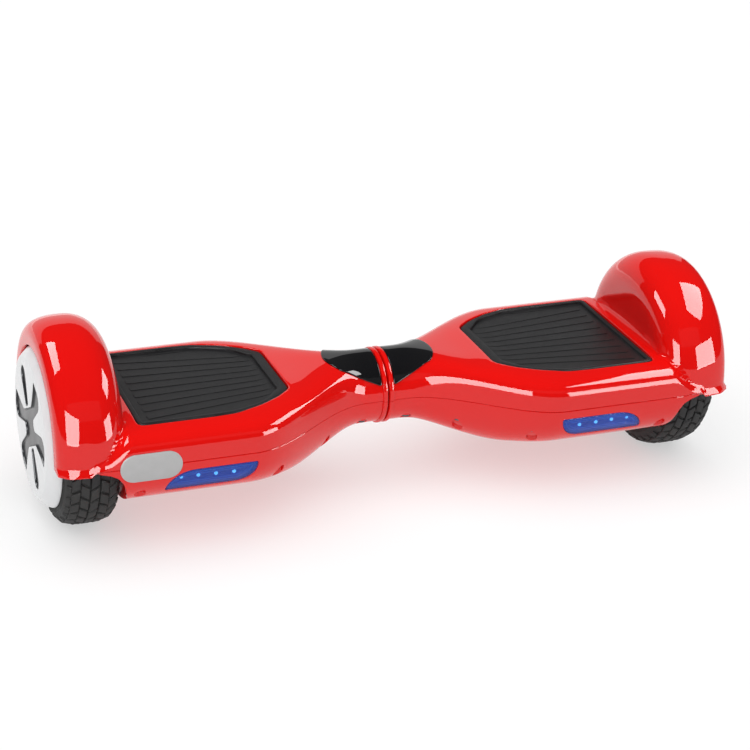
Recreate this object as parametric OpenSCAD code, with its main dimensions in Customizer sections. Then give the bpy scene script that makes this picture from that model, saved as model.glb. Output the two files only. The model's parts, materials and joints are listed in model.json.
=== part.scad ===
// Self-balancing scooter board: two tilting halves on a hollow centre pivot, each with a hub-motor wheel.
// +X runs along the axle to the rider's right, -Y is the lit front, +Z is up, z = 0 is the ground.
// Every sub-part is drawn for the +X side and mirrored for the left one.

/* [Body] */
// Overall length over the two wheel arches
overall_length = 584; // [560:2:640]
// Overall depth of the shells, front to back
body_depth = 186; // [176:1:196]
// Height of the deck crown above the ground
deck_z = 109; // [106:0.5:114]
// Height of the belly above the ground
belly_z = 33; // [30:0.5:36]
// Height of the seam between top and bottom shells
split_z = 80.6; // [79:0.1:82]
// Gap of the seam
seam = 0.2; // [0.1:0.1:0.4]
// Wall of the plastic shells
wall = 2.5; // [2:0.1:3]
// Radius of the neck at the centre
neck_r = 30.5; // [29:0.5:33]
// Where the neck starts to widen
neck_x = 18; // [16:1:24]
// Length over which the neck widens to the full depth
neck_run = 118; // [110:1:126]
// Radius of the raised rims at the centre
rim_r = 32.5; // [32:0.5:35]
// Width of one rim
rim_w = 4; // [3:0.5:5]
// Gap between the two halves
centre_gap = 1.5; // [1.2:0.1:2.5]

/* [Wheels] */
// Tyre diameter
tyre_d = 165; // [163:1:169]
// Tyre width
tyre_w = 45; // [43:0.5:46]
// Bore of the tyre, seated on the rim
tyre_bore_r = 62; // [60:0.5:64]
// Gap between the tyre and the arch above it
arch_clear = 3; // [2.5:0.1:4]
// Wall of the arch crown
arch_wall = 3; // [2.5:0.1:4]
// Radius of the round opening in the arch's outer face
arch_open_r = 66; // [64:0.5:69]
// Radius of the hub cap
hub_cap_r = 67; // [65:0.5:70]
// Axle diameter
axle_d = 15; // [14:0.5:16]
// Width of the axle across its flats
axle_flats = 12; // [11:0.5:13]
// Number of motor magnets
magnet_count = 30; // [24:2:36]
// Number of stator teeth
tooth_count = 27; // [21:3:30]
// Air gap of the motor
air_gap = 0.6; // [0.4:0.1:1]

/* [Foot pads] */
// Distance from the centre to a pad's inner edge
pad_x0 = 91; // [88:1:96]
// Distance from the centre to a pad's outer edge
pad_x1 = 225; // [218:1:226]
// Half depth of the pad at its outer part
pad_half_y = 71; // [66:1:73]
// Half depth of the pad at its inner edge
pad_tip_y = 39; // [36:1:42]
// Travel of the pad
pad_travel = 1.5; // [1:0.1:2]
// Thickness of the rubber mat under its ribs
mat_t = 3; // [2.5:0.1:4]
// Height of the ribs
rib_h = 2.5; // [2:0.1:3]
// Number of ribs
rib_count = 9; // [7:1:11]
// Thickness of the pad tray
tray_t = 2.5; // [2:0.1:3]
// Gap round the pad
pad_gap = 0.6; // [0.4:0.1:1]

/* [Inside] */
// Thickness of the chassis plate
plate_t = 3; // [2.5:0.5:4]
// Underside of the chassis plate
plate_z = 86; // [85.5:0.5:87]
// Radius of the chassis hub at the centre
hub_r = 21; // [20:0.5:23]
// Length of the chassis hub
hub_len = 39; // [36:1:44]
// Outer radius of the pivot tube
pivot_r = 12; // [11:0.5:12.5]
// Bore radius of the pivot tube
pivot_bore_r = 8.5; // [7:0.5:9]
// Tilt of one half against the other, each way
tilt_max = 10; // [6:1:14]
// Battery length, depth and height
battery_size = [102, 78, 41];
// Circuit board thickness
board_t = 1.6; // [1:0.1:2]
// Screw radius of the shell screws
screw_r = 1.9; // [1.6:0.1:2.1]

/* [Hidden] */

red = "#d81414";
black = "#161618";
rubber = "#202022";
white = "#f2f2f2";
gunmetal = "#4a4c50";
aluminium = "#b9bcc0";
steel = "#8d9196";
copper = "#b8703a";
board_green = "#1d5a34";
led_blue = "#2a52c8";
bronze = "#b99a4a";

LEFT = -1;
RIGHT = 1;
play = 0.02;                 // radial clearance of a fixed fit
run = 0.05;                  // radial clearance of a running fit
body_gap = 0.3;              // gap between pieces that move against each other
half_len = overall_length / 2;
half_depth = body_depth / 2;
tyre_r = tyre_d / 2;
axle_z = tyre_r;
axle_r = axle_d / 2;
centre_x = centre_gap / 2;   // inner end of a shell

// Wheel space along X, worked inwards from the arch's outer face
arch_r = tyre_r + arch_clear + arch_wall;
lip_x = half_len - wall;
wheel_x1 = half_len - 7.5;
wheel_x0 = wheel_x1 - tyre_w;
well_x = wheel_x0 - 2.5;     // face of the wheel well's inner wall
flank_x = well_x - arch_wall; // outer flank of the arch
arch_in_r = 60;              // arch radius where its flank starts
arch_out_r = 72;             // arch radius at its outer face
arch_mid = (flank_x + half_len) / 2;
arch_half = (half_len - flank_x) / 2;
well_r = tyre_r + arch_clear;
cheek_x = flank_x + 29;      // outer end of the bottom shell's cheeks
axle_hole_r = axle_r + 5;

// Stations along X for the lofted shells
neck_end = neck_x + neck_run;
body_xs = [centre_x, 6, 12, 18, 26, 34, 42, 50, 60, 70, 80, 90, 100, 112, 124, neck_end, 170, 200,
    flank_x - 0.5];
arch_us = [-1, -0.97, -0.9, -0.8, -0.65, -0.45, -0.2, 0, 0.25, 0.5, 0.7, 0.85, 0.93, 0.98, 1];
arch_xs = [for (u = arch_us) arch_mid + u * arch_half];
cheek_xs = [flank_x, flank_x + 8, flank_x + 18, cheek_x];
arc_steps = 20;

function smooth(t) = t <= 0 ? 0 : t >= 1 ? 1 : t * t * (3 - 2 * t);
function mix(a, b, t) = a + (b - a) * t;
function widen(x) = smooth((x - neck_x) / neck_run);

// Half depth of the body at x, a little narrower beyond the arch's flank
function half_w(x) = mix(neck_r, half_depth, widen(x)) - 5 * smooth((x - flank_x - 4) / 46)
    - 6 * smooth((x - half_len + 10) / 10);
// Height above the seam, falling away beside the wheel
function top_h(x) = mix(neck_r + axle_z - split_z, deck_z - split_z, smooth((x - neck_x) / 60))
    * mix(1, 0.2, smooth((x - flank_x) / 26));
function bottom_h(x) = mix(split_z - axle_z + neck_r, split_z - belly_z, smooth((x - neck_x) / 105));
function top_n(x) = mix(2, 4, smooth((x - neck_x) / 60));
function bottom_n(x) = mix(2, 2.6, smooth((x - neck_x) / 40));

// Distance from the seam's middle to a rounded-box outline in direction a
function polar(w, h, n, a) = 1 / pow(pow(abs(cos(a)) / w, n) + pow(abs(sin(a)) / h, n), 1 / n);
function bump(u, flat_r, p) = flat_r + (arch_r - flat_r) * pow(max(0, 1 - pow(abs(u), p)), 1 / p);
function arch_radius(x) = let (u = (x - arch_mid) / arch_half)
    x < flank_x ? 0 : u < 0 ? bump(u, arch_in_r, 2.2) : bump(min(u, 1), arch_out_r, 2.6);
function arch_polar(r, a) = let (c = axle_z - split_z) r < c + 1 ? 0
    : c * sin(a) + sqrt(r * r - pow(c * cos(a), 2));
function smax(a, b, k) = max(a, b) + pow(max(k - abs(a - b), 0), 2) / (4 * k);

function top_polar(x, a, d = 0) = smax(polar(half_w(x) + d, top_h(x) + d, top_n(x), a),
    arch_polar(arch_radius(x), a), 5);
function bottom_polar(x, a, d = 0) = polar(half_w(x) + d, bottom_h(x) + d, bottom_n(x), a);
// Depth of the shells' face at a height
function face_y(x, z) = let (up = z > split_z, h = up ? top_h(x) : bottom_h(x),
    n = up ? top_n(x) : bottom_n(x))
    half_w(x) * pow(max(0, 1 - pow(abs(z - split_z) / h, n)), 1 / n);

// Closed solid through equal convex loops of points, each running anticlockwise seen from ahead
module loft(loops) {
    n = len(loops[0]);
    m = len(loops);
    sides = [for (i = [0 : m - 2], j = [0 : n - 1]) let (a = i * n + j, b = i * n + (j + 1) % n)
        each [[a, a + n, b + n], [a, b + n, b]]];
    near = [[for (j = [0 : n - 1]) j]];
    far = [[for (j = [n - 1 : -1 : 0]) (m - 1) * n + j]];
    polyhedron([for (l = loops) each l], concat(sides, near, far), convexity = 10);
}
// Closed solid between an outer and an inner grid of points
module sheet(outer, inner) {
    n = len(outer[0]);
    m = len(outer);
    k = n * m;
    function quad(a, b, c, d) = [[a, b, c], [a, c, d]];
    polyhedron(concat([for (l = outer) each l], [for (l = inner) each l]), concat(
        [for (i = [0 : m - 2], j = [0 : n - 2]) let (a = i * n + j) each quad(a, a + n, a + n + 1, a + 1)],
        [for (i = [0 : m - 2], j = [0 : n - 2]) let (a = k + i * n + j)
            each quad(a, a + 1, a + n + 1, a + n)],
        [for (j = [0 : n - 2]) each quad(j, j + 1, k + j + 1, k + j)],
        [for (j = [0 : n - 2]) let (a = (m - 1) * n + j) each quad(a, k + a, k + a + 1, a + 1)],
        [for (i = [0 : m - 2]) let (a = i * n) each quad(a, k + a, k + a + n, a + n)],
        [for (i = [0 : m - 2]) let (a = i * n + n - 1) each quad(a, a + n, k + a + n, k + a)]
    ), convexity = 10);
}
// Hollow half shell: each station is a thin C, filled in past the body's end
module half_shell(xs, up, fill_x) {
    base = up ? split_z : split_z - seam;
    first = up ? 0 : -180;
    sheet(
        [for (x = xs) [for (k = [0 : arc_steps]) let (a = first + 180 * k / arc_steps,
            r = up ? top_polar(x, a) : bottom_polar(x, a)) [x, r * cos(a), base + r * sin(a)]]],
        [for (x = xs) [for (k = [0 : arc_steps]) let (a = first + 180 * k / arc_steps,
            r = x >= fill_x ? 4 : up ? top_polar(x, a, -wall) : bottom_polar(x, a, -wall))
            [x, r * cos(a), base + r * sin(a)]]]);
}
module side(s) { if (s < 0) mirror([1, 0, 0]) children(); else children(); }
// Turns an [r, x] profile about the wheel axis
module about_axle(sweep = 360) translate([0, 0, axle_z]) rotate([0, 90, 0])
    rotate_extrude(angle = sweep) children();
module bar_x(r, x0, x1) translate([x0, 0, axle_z]) rotate([0, 90, 0]) cylinder(h = x1 - x0, r = r);
module box(p0, p1) translate(p0) cube(p1 - p0);
module post(x, y, r, z0, z1) translate([x, y, z0]) cylinder(h = z1 - z0, r = r);
module upper_half() box([-400, -200, split_z], [400, 200, 300]);
module lower_half() box([-400, -200, -10], [400, 200, split_z - seam]);
$fn = 64;

// Shell screws: they come up from the lower edge through the bottom shell
boss_r = 4.5;
seat_z = 62;
screw_top = 94;
screw_xs = [60, 112, 228];
mid_screw = [20, 20];
function screw_y(x) = half_w(x) - boss_r - wall - 2;
screw_spots = [for (x = screw_xs, s = [-1, 1]) [x, s * screw_y(x)]];
mid_spots = [for (s = [-1, 1]) [mid_screw[0], s * mid_screw[1]]];
lug_z = seat_z + 6.5;        // underside of the chassis lugs that these two screws hold

// Pad stack, from the recess floor up
floor_t = 2;
mat_top = deck_z - 1.5;
mat_z = mat_top - mat_t;
tray_z = mat_z - tray_t;
floor_z = tray_z - pad_travel - 0.5 - floor_t;
plunger_r = 4;
plunger_spots = [for (x = [122, 198], s = [-1, 1]) [x, s * 34]];
standoff_spots = [for (s = [-1, 1]) each [[100, s * 32], [160, s * 58], [222, s * 58]]];
standoff_r = 3.5;

module pad_outline(grow = 0) offset(r = grow) offset(r = 7) offset(delta = -7)
    polygon([for (s = [1, -1]) let (p = [[pad_x0, pad_tip_y], [pad_x0 + 14, pad_tip_y + 13],
        [pad_x0 + 31, pad_half_y - 9], [pad_x0 + 53, pad_half_y - 1], [pad_x0 + 74, pad_half_y],
        [pad_x1, pad_half_y]]) each [for (i = [0 : 5]) let (q = p[s > 0 ? i : 5 - i]) [q[0], s * q[1]]]]);

module rim(up) intersection() {
    about_axle() polygon([[neck_r - wall, centre_x], [rim_r - 1, centre_x], [rim_r, centre_x + 1],
        [rim_r, centre_x + rim_w - 1], [rim_r - 1, centre_x + rim_w], [neck_r - wall, centre_x + rim_w]]);
    if (up) upper_half(); else lower_half();
}

module top_shell(s) color(red) side(s) difference() {
    union() {
        difference() {
            half_shell(concat(body_xs, arch_xs), true, flank_x - 0.4);
            translate([0, 0, floor_z + floor_t]) linear_extrude(30) pad_outline(pad_gap);
        }
        rim(true);
        translate([0, 0, floor_z]) linear_extrude(floor_t) pad_outline(pad_gap + wall);
        translate([0, 0, floor_z]) linear_extrude(mat_top - 2 - floor_z) difference() {
            pad_outline(pad_gap + wall);
            pad_outline(pad_gap);
        }
        for (p = standoff_spots) post(p[0], p[1], standoff_r, plate_z + plate_t, floor_z + 0.5);
        for (p = screw_spots) post(p[0], p[1], boss_r, split_z, screw_top + 1.5);
    }
    about_axle() polygon(concat([[0, well_x], [arch_radius(well_x) - arch_wall, well_x]],
        [for (x = arch_xs) if (x > well_x && x < lip_x) [min(arch_radius(x) - arch_wall, well_r), x]],
        [[arch_out_r - wall, lip_x], [0, lip_x]]));
    bar_x(arch_open_r, lip_x - 1, half_len + 1);
    bar_x(axle_hole_r, flank_x - 3, well_x + 1);
    for (p = screw_spots) post(p[0], p[1], screw_r + run, split_z - 1, screw_top + 0.3);
    for (p = plunger_spots) post(p[0], p[1], plunger_r + 0.4, floor_z - 1, floor_z + floor_t + 1);
}
module left_top_shell() top_shell(LEFT);
module right_top_shell() top_shell(RIGHT);

// Lamp window in the bottom shell: sharp at two corners, round at the others
lamp_x0 = 133;
lamp_x1 = 208;
lamp_z0 = 54;
lamp_z1 = 73;
module lamp_outline(grow = 0) offset(delta = grow) union() {
    hull() {
        translate([lamp_x0 + 7, lamp_z0 + 7]) circle(r = 7, $fn = 32);
        translate([lamp_x0, lamp_z1 - 2]) square(2);
        translate([lamp_x1 - 2, lamp_z0]) square(2);
        translate([lamp_x1 - 14, lamp_z1 - 14]) circle(r = 14, $fn = 32);
    }
}
module lamp_prism(grow = 0) translate([0, -half_depth + 14, 0]) rotate([90, 0, 0])
    linear_extrude(20) lamp_outline(grow);

// Charging inlet and power button in the rear of the right half
inlet_x = 186;
button_x = 152;
rear_z = 67;
inlet_r = 9;
button_r = 7.5;
rear_face = face_y(inlet_x, rear_z);
seat_depth = 8;              // how far the button housing reaches inside
pocket = [13, 12.4];         // half width and half height of the inlet's pocket
pocket_y = face_y(inlet_x, rear_z - pocket[1]) - 1.5;
module rear_bar(x, r, y0, y1) translate([x, y0, rear_z]) rotate([-90, 0, 0]) cylinder(h = y1 - y0, r = r);

module pocket_box(y0, y1, grow) box([inlet_x - pocket[0] - grow, y0, rear_z - pocket[1] - grow],
    [inlet_x + pocket[0] + grow, y1, rear_z + pocket[1] + grow]);

module cheek_cut() rotate([90, 0, 0]) translate([0, 0, -150]) linear_extrude(300) difference() {
    box2([flank_x + 3, 0], [half_len + 10, split_z + 1]);
    hull() {
        translate([flank_x - 4, split_z - 22]) square([1, 22]);
        translate([cheek_x - 1, split_z - 2]) square([1, 3]);
        translate([flank_x + 10, split_z - 9]) circle(r = 6, $fn = 32);
        translate([flank_x + 2, split_z - 25]) circle(r = 5, $fn = 32);
    }
}
module box2(p0, p1) translate(p0) square(p1 - p0);

module bottom_shell(s) color(red) side(s) difference() {
    union() {
        half_shell(concat(body_xs, cheek_xs), false, flank_x - 0.4);
        rim(false);
        for (p = screw_spots) post(p[0], p[1], boss_r, seat_z - 3, split_z - seam);
        for (p = mid_spots) post(p[0], p[1], lug_r, seat_z - 1, lug_z - 0.3);
        // rails that hold the lamp board by its ends
        for (x = [lamp_x0 - 1.5, lamp_x1 - 1.5]) box([x, 7 - half_depth, 59], [x + 3, 15 - half_depth, 70]);
        if (s > 0) intersection() {
            union() {
                pocket_box(pocket_y - wall, half_depth, wall);
                rear_bar(button_x, button_r + wall, rear_face - seat_depth, half_depth);
            }
            half_shell_fill();
        }
    }
    bar_x(well_r + 0.5, well_x, half_len + 1);
    bar_x(axle_hole_r, flank_x - 3, well_x + 1);
    cheek_cut();
    lamp_prism();
    for (p = screw_spots) {
        post(p[0], p[1], boss_r, belly_z - 5, seat_z);
        post(p[0], p[1], screw_r + 0.2, seat_z - 1, split_z + 1);
    }
    for (p = mid_spots) {
        post(p[0], p[1], boss_r, belly_z - 5, seat_z);
        post(p[0], p[1], screw_r + 0.2, seat_z - 1, lug_z);
    }
    if (s > 0) {
        pocket_box(pocket_y, half_depth + 2, 0);
        rear_bar(inlet_x, inlet_r + play, pocket_y - wall - 1, half_depth + 2);
        rear_bar(button_x, button_r + body_gap, rear_face - seat_depth - 1, half_depth + 2);
    }
}
// Solid outline of the bottom shell round the rear housings
module half_shell_fill() loft([for (x = [button_x - 14, (button_x + inlet_x) / 2, inlet_x + 16])
    [for (k = [0 : arc_steps]) let (a = -180 + 180 * k / arc_steps, r = bottom_polar(x, a, -0.05))
    [x, r * cos(a), split_z - seam + r * sin(a)]]]);
module left_bottom_shell() bottom_shell(LEFT);
module right_bottom_shell() bottom_shell(RIGHT);

// --- Frame inside each half ---
saddle_x0 = flank_x - 28;
saddle_x1 = flank_x - 4;
saddle_y = 23;
clamp_z = 70;
clamp_gap = 0.2;
clamp_screw_r = 3;
clamp_spots = [for (x = [saddle_x0 + 5.5, saddle_x1 - 5.5], s = [-1, 1]) [x, s * 16.5]];
board_clear = 20;            // plate edge inside the shell's side, clear of the screw bosses
web_y = 18;                  // webs that join the hub to the plate
web_t = 5;
web_z = 76;
web_x1 = 66;
rail_y = 56;
rail_z = 75;
lug_r = 3.8;
bush_r = 15;
bush_x0 = 7;
washer_r = 14.8;
stop_r0 = 16.2;
stop_r1 = 19.2;
stop_angle = 16;             // angle that the stop lug takes up
hub_face = centre_x + 0.25;
sensor_z = plate_z + plate_t + 2;
sensor_spots = [for (x = [112, 208], s = [-1, 1]) [x, s * 44]];
main_board_z = plate_z - 5;
board_spots = [for (x = [78, 168], s = [-1, 1]) [x, s * 36]];

module plate_shape() {
    xs = [28, 40, 54, 75, 97, 120, neck_end, flank_x - 4];
    polygon(concat([for (x = xs) [x, half_w(x) - board_clear]],
        [for (i = [len(xs) - 1 : -1 : 0]) [xs[i], board_clear - half_w(xs[i])]]));
}
// Axle section: round with two flats
module axle_section(clear = 0) intersection() {
    circle(r = axle_r + clear);
    square([2 * axle_r + 2, axle_flats + 2 * clear], center = true);
}
module axle_bar(x0, x1, clear = 0) translate([x0, 0, axle_z]) rotate([0, 90, 0])
    linear_extrude(x1 - x0) axle_section(clear);

module chassis(s) color(aluminium) side(s) difference() {
    union() {
        translate([0, 0, plate_z]) linear_extrude(plate_t) plate_shape();
        bar_x(hub_r, hub_face, hub_face + hub_len);
        for (y = [-1, 1]) {
            translate([hub_face + hub_len - 12, y * web_y - web_t / 2, web_z])
                cube([web_x1 - hub_face - hub_len + 12, web_t, plate_z + plate_t - web_z]);
            translate([neck_end - 12, y * rail_y - 1.5, rail_z])
                cube([flank_x - neck_end + 8, 3, plate_z - rail_z + 1]);
            hull() {
                post(mid_screw[0], y * mid_screw[1], lug_r, lug_z, plate_z - 8);
                post(mid_screw[0], y * 12, lug_r, lug_z, plate_z - 8);
            }
        }
        box([saddle_x0, -saddle_y, axle_z], [saddle_x1, saddle_y, plate_z + plate_t + 4]);
        for (p = sensor_spots) post(p[0], p[1], 3, plate_z + 1, sensor_z);
        if (s < 0) for (p = board_spots) post(p[0], p[1], 3, main_board_z + board_t, plate_z + 1);
        // stop lug that works in the other half's slot
        if (s < 0) translate([0, 0, axle_z]) rotate([0, 90, 0]) translate([0, 0, -5])
            rotate(-90 - stop_angle / 2)
            rotate_extrude(angle = stop_angle) translate([stop_r0, 0])
                square([stop_r1 - stop_r0, 5 + hub_face + 1]);
    }
    bar_x(s < 0 ? pivot_r + play : bush_r + play, -1, hub_face + hub_len + 1);
    bar_x(web_y - web_t / 2 - 0.2, hub_face + hub_len, web_x1 - 2);
    box([saddle_x0 - 1, -saddle_y - 1, clamp_z - 20], [saddle_x1 + 1, saddle_y + 1, axle_z]);
    axle_bar(axle_x0 - 1, saddle_x1 + 1, play);
    for (p = clamp_spots) post(p[0], p[1], clamp_screw_r + run, axle_z - 1, plate_z + plate_t + 5);
    for (p = mid_spots) post(p[0], p[1], screw_r + run, seat_z, plate_z - 12);
    if (s > 0) translate([hub_face - 1, 0, axle_z]) rotate([0, 90, 0]) {
        slot = stop_angle + 2 * tilt_max + 2;
        rotate(-90 - slot / 2) rotate_extrude(angle = slot) translate([stop_r0 - body_gap, 0])
            square([stop_r1 - stop_r0 + 2 * body_gap, 7]);
    }
}
module left_chassis() chassis(LEFT);
module right_chassis() chassis(RIGHT);

module axle_clamp(s) color(aluminium) side(s) difference() {
    box([saddle_x0 + 1, -saddle_y, clamp_z], [saddle_x1 - 1, saddle_y, axle_z - clamp_gap]);
    axle_bar(saddle_x0 - 1, saddle_x1 + 1, play);
    for (p = clamp_spots) post(p[0], p[1], clamp_screw_r + 0.2, clamp_z - 1, axle_z + 1);
    for (p = clamp_spots) post(p[0], p[1], 5.3, clamp_z - 1, clamp_z + 4);
}
module left_axle_clamp() axle_clamp(LEFT);
module right_axle_clamp() axle_clamp(RIGHT);

module hex_screw(p, r, head_r, head_z, shank_z, head_h, key) difference() {
    union() {
        post(p[0], p[1], head_r, head_z, head_z + head_h);
        post(p[0], p[1], r, head_z + head_h, shank_z);
    }
    translate([p[0], p[1], head_z - 1]) cylinder(h = head_h - 0.8, r = key, $fn = 6);
}
module clamp_screws(s) color(steel) side(s) for (p = clamp_spots)
    hex_screw(p, clamp_screw_r, 5, clamp_z - 2, plate_z + plate_t + 2, 6, 2.6);
module left_clamp_screws() clamp_screws(LEFT);
module right_clamp_screws() clamp_screws(RIGHT);
module shell_screws(s) color(steel) side(s) {
    for (p = screw_spots) hex_screw(p, screw_r, 3.6, seat_z - 2.4, screw_top, 2.4, 1.5);
    for (p = mid_spots) hex_screw(p, screw_r, 3.6, seat_z - 2.4, plate_z - 13, 2.4, 1.5);
}
module left_shell_screws() shell_screws(LEFT);
module right_shell_screws() shell_screws(RIGHT);

// --- Centre pivot ---
ring_x = hub_face + hub_len + 0.2;
module pivot_tube() color(steel) difference() {
    bar_x(pivot_r, -hub_len - hub_face, ring_x + 4);
    bar_x(pivot_bore_r, -hub_len - hub_face - 1, ring_x + 5);
    difference() {
        bar_x(pivot_r + 1, ring_x, ring_x + 1.6);
        bar_x(pivot_r - 1, ring_x - 1, ring_x + 3);
    }
}
module pivot_bushes() color(bronze) {
    difference() {
        bar_x(bush_r, bush_x0, hub_face + hub_len);
        bar_x(pivot_r + run, 0, hub_face + hub_len + 1);
    }
    difference() {
        bar_x(washer_r, 0.1 - hub_face, hub_face);
        bar_x(pivot_r + run, -3, 3);
    }
}
module retaining_ring() color(steel) translate([ring_x + 0.2, 0, axle_z]) rotate([0, 90, 0]) rotate(15)
    rotate_extrude(angle = 330) translate([pivot_r - 0.9, 0]) square([3.4, 1.2]);

// --- Shell trims ---
panel_x0 = centre_x + rim_w + 0.6;
panel_x1 = 48;
panel_t = 1.3;
panel_lift = 0.35;
function panel_span(x) = let (t = (x - panel_x0) / (panel_x1 - panel_x0))
    max(3, t < 0.75 ? mix(66, 40, t / 0.75) : 40 * sqrt(max(0, 1 - pow((t - 0.75) / 0.25, 2))));
panel_xs = [panel_x0, 9, 12, 18, 26, 34, 38, 42, 45, 47, panel_x1];
function panel_point(x, t, d) = let (a = 90 + t * panel_span(x), r = top_polar(x, a) + d)
    [x, r * cos(a), split_z + r * sin(a)];
module centre_panel(s) color(black) side(s) sheet(
    [for (x = panel_xs) [for (t = [-1 : 0.125 : 1]) panel_point(x, t, panel_lift + panel_t)]],
    [for (x = panel_xs) [for (t = [-1 : 0.125 : 1]) panel_point(x, t, panel_lift)]]);
module left_centre_panel() centre_panel(LEFT);
module right_centre_panel() centre_panel(RIGHT);

label_x = 216;
label_l = 50;
label_h = 24;
label_z = 81.5;
label_t = 0.3;
label_lift = 0.25;
function label_point(u, v, d) = let (z = label_z + v * label_h / 2, r = label_h / 2,
    x = label_x + u * (label_l / 2 - r + r * sqrt(max(0.0004, 1 - v * v)))) [x, -face_y(x, z) - d, z];
module blank_label() color("#b9babc") mirror([1, 0, 0]) sheet(
    [for (v = [-1, -0.97, -0.9, -0.75, -0.5, -0.25, 0, 0.25, 0.5, 0.75, 0.9, 0.97, 1])
        [for (u = [-1 : 0.2 : 1]) label_point(u, v, label_lift + label_t)]],
    [for (v = [-1, -0.97, -0.9, -0.75, -0.5, -0.25, 0, 0.25, 0.5, 0.75, 0.9, 0.97, 1])
        [for (u = [-1 : 0.2 : 1]) label_point(u, v, label_lift)]]);

lamp_xs = [lamp_x0 - 6, 145, 158, 171, 184, 197, lamp_x1 + 6];
module led_lens(s) color(led_blue) side(s) intersection() {
    sheet([for (x = lamp_xs) [for (z = [78 : -4 : 50]) [x, -face_y(x, z), z]]],
        [for (x = lamp_xs) [for (z = [78 : -4 : 50]) [x, 2.6 - face_y(x, z), z]]]);
    lamp_prism(-0.15);
}
module left_led_lens() led_lens(LEFT);
module right_led_lens() led_lens(RIGHT);
module led_board(s) color(board_green) side(s) {
    y = 13 - half_depth;
    box([lamp_x0 + 1.6, y, 59], [lamp_x1 - 1.6, y + board_t, 70]);
    for (x = [146, 162, 178, 194]) box([x, y - 1.6, 62], [x + 4, y, 66]);
}
module left_led_board() led_board(LEFT);
module right_led_board() led_board(RIGHT);

// --- Foot pads ---
module rib_bars(reach) intersection() {
    translate([0, 0, mat_top - 1]) linear_extrude(rib_h + 1) pad_outline(-4);
    union() for (i = [0 : rib_count - 1]) {
        y = ((i + 0.5) / rib_count - 0.5) * 2 * (pad_half_y - 5);
        w = (pad_half_y - 5) / rib_count * 1.05;
        translate([pad_x0, y - w / 2, mat_top - 0.5]) cube([reach, w, rib_h + 0.5]);
    }
}
module pad_mat(s) color(rubber) side(s) {
    translate([0, 0, mat_z]) linear_extrude(mat_t) pad_outline();
    rib_bars(pad_x1 - pad_x0);
}
module left_pad_mat() pad_mat(LEFT);
module right_pad_mat() pad_mat(RIGHT);
module pad_tray(s) color(black) side(s) translate([0, 0, tray_z]) linear_extrude(tray_t) pad_outline(-1);
module left_pad_tray() pad_tray(LEFT);
module right_pad_tray() pad_tray(RIGHT);
gate_z = sensor_z + board_t;
module pad_plungers(s) color(white) side(s) for (p = plunger_spots) {
    post(p[0], p[1], plunger_r, gate_z + pad_travel + 0.6, tray_z);
}
module left_pad_plungers() pad_plungers(LEFT);
module right_pad_plungers() pad_plungers(RIGHT);
module sensor_board(s) color(board_green) side(s) {
    difference() {
        box([105, -50, sensor_z], [saddle_x0 + 11, 50, gate_z]);
        box([saddle_x0 - 5, -saddle_y - 2, sensor_z - 1], [saddle_x0 + 12, saddle_y + 2, gate_z + 1]);
    }
    for (p = plunger_spots, k = [-1, 1])
        box([p[0] + k * 6.5 - 1.5, p[1] - 3, gate_z], [p[0] + k * 6.5 + 1.5, p[1] + 3, gate_z + 3]);
    box([156, -6, gate_z], [168, 6, gate_z + 1.2]);
    box([140, -24, gate_z], [146, -12, gate_z + 3]);
}
module left_sensor_board() sensor_board(LEFT);
module right_sensor_board() sensor_board(RIGHT);

// --- Wheels ---
rotor_x0 = wheel_x0 + 4.5;
rotor_x1 = wheel_x1 - 1.5;
rotor_in_r = tyre_bore_r - 4;
stack_x0 = wheel_x0 + 14;
stack_x1 = wheel_x1 - 12.5;
magnet_t = 3.5;
stator_r = rotor_in_r - magnet_t - air_gap;
inner_bearing = [axle_d, axle_d + 20, 11];      // bore, outer diameter, width
outer_bearing = [axle_d - 3, axle_d + 13, 8];
cap_face = lip_x - 0.7;
cap_back = wheel_x1 + 0.3;
inlay_depth = 1.4;
face_x0 = rotor_x1 - 4;
module tyre(s) color(rubber) side(s) about_axle() {
    c = (wheel_x0 + wheel_x1) / 2;
    h = tyre_w / 2;
    polygon([[tyre_bore_r, c - h + 2], [tyre_bore_r + 4, c - h], [tyre_r - 11, c - h],
    [tyre_r - 5, c - h + 3],
        [tyre_r - 1.5, c - h + 8], [tyre_r, c - h + 14], [tyre_r, c + h - 14], [tyre_r - 1.5, c + h - 8],
        [tyre_r - 5, c + h - 3], [tyre_r - 11, c + h], [tyre_bore_r + 4, c + h], [tyre_bore_r, c + h - 2]]);
}
module left_tyre() tyre(LEFT);
module right_tyre() tyre(RIGHT);
module rotor(s) color(aluminium) side(s) difference() {
    about_axle() polygon([[outer_bearing[1] / 2 + play, face_x0 - 5], [outer_bearing[1] / 2 + 5, face_x0 - 5],
        [outer_bearing[1] / 2 + 6, face_x0], [rotor_in_r, face_x0], [rotor_in_r, rotor_x0],
        [tyre_bore_r - run, rotor_x0], [tyre_bore_r - run, rotor_x1], [axle_r - 4, rotor_x1],
        [axle_r - 4, rotor_x1 - 1], [outer_bearing[1] / 2 + play, rotor_x1 - 1]]);
}
module left_rotor() rotor(LEFT);
module right_rotor() rotor(RIGHT);
module magnets(s) color(steel) side(s) for (i = [0 : magnet_count - 1]) translate([stack_x0, 0, axle_z])
    rotate([0, 90, 0]) rotate(i * 360 / magnet_count) rotate_extrude(angle = 360 / magnet_count - 2)
    translate([rotor_in_r - magnet_t, 0]) square([magnet_t - run, stack_x1 - stack_x0]);
module left_magnets() magnets(LEFT);
module right_magnets() magnets(RIGHT);
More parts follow.
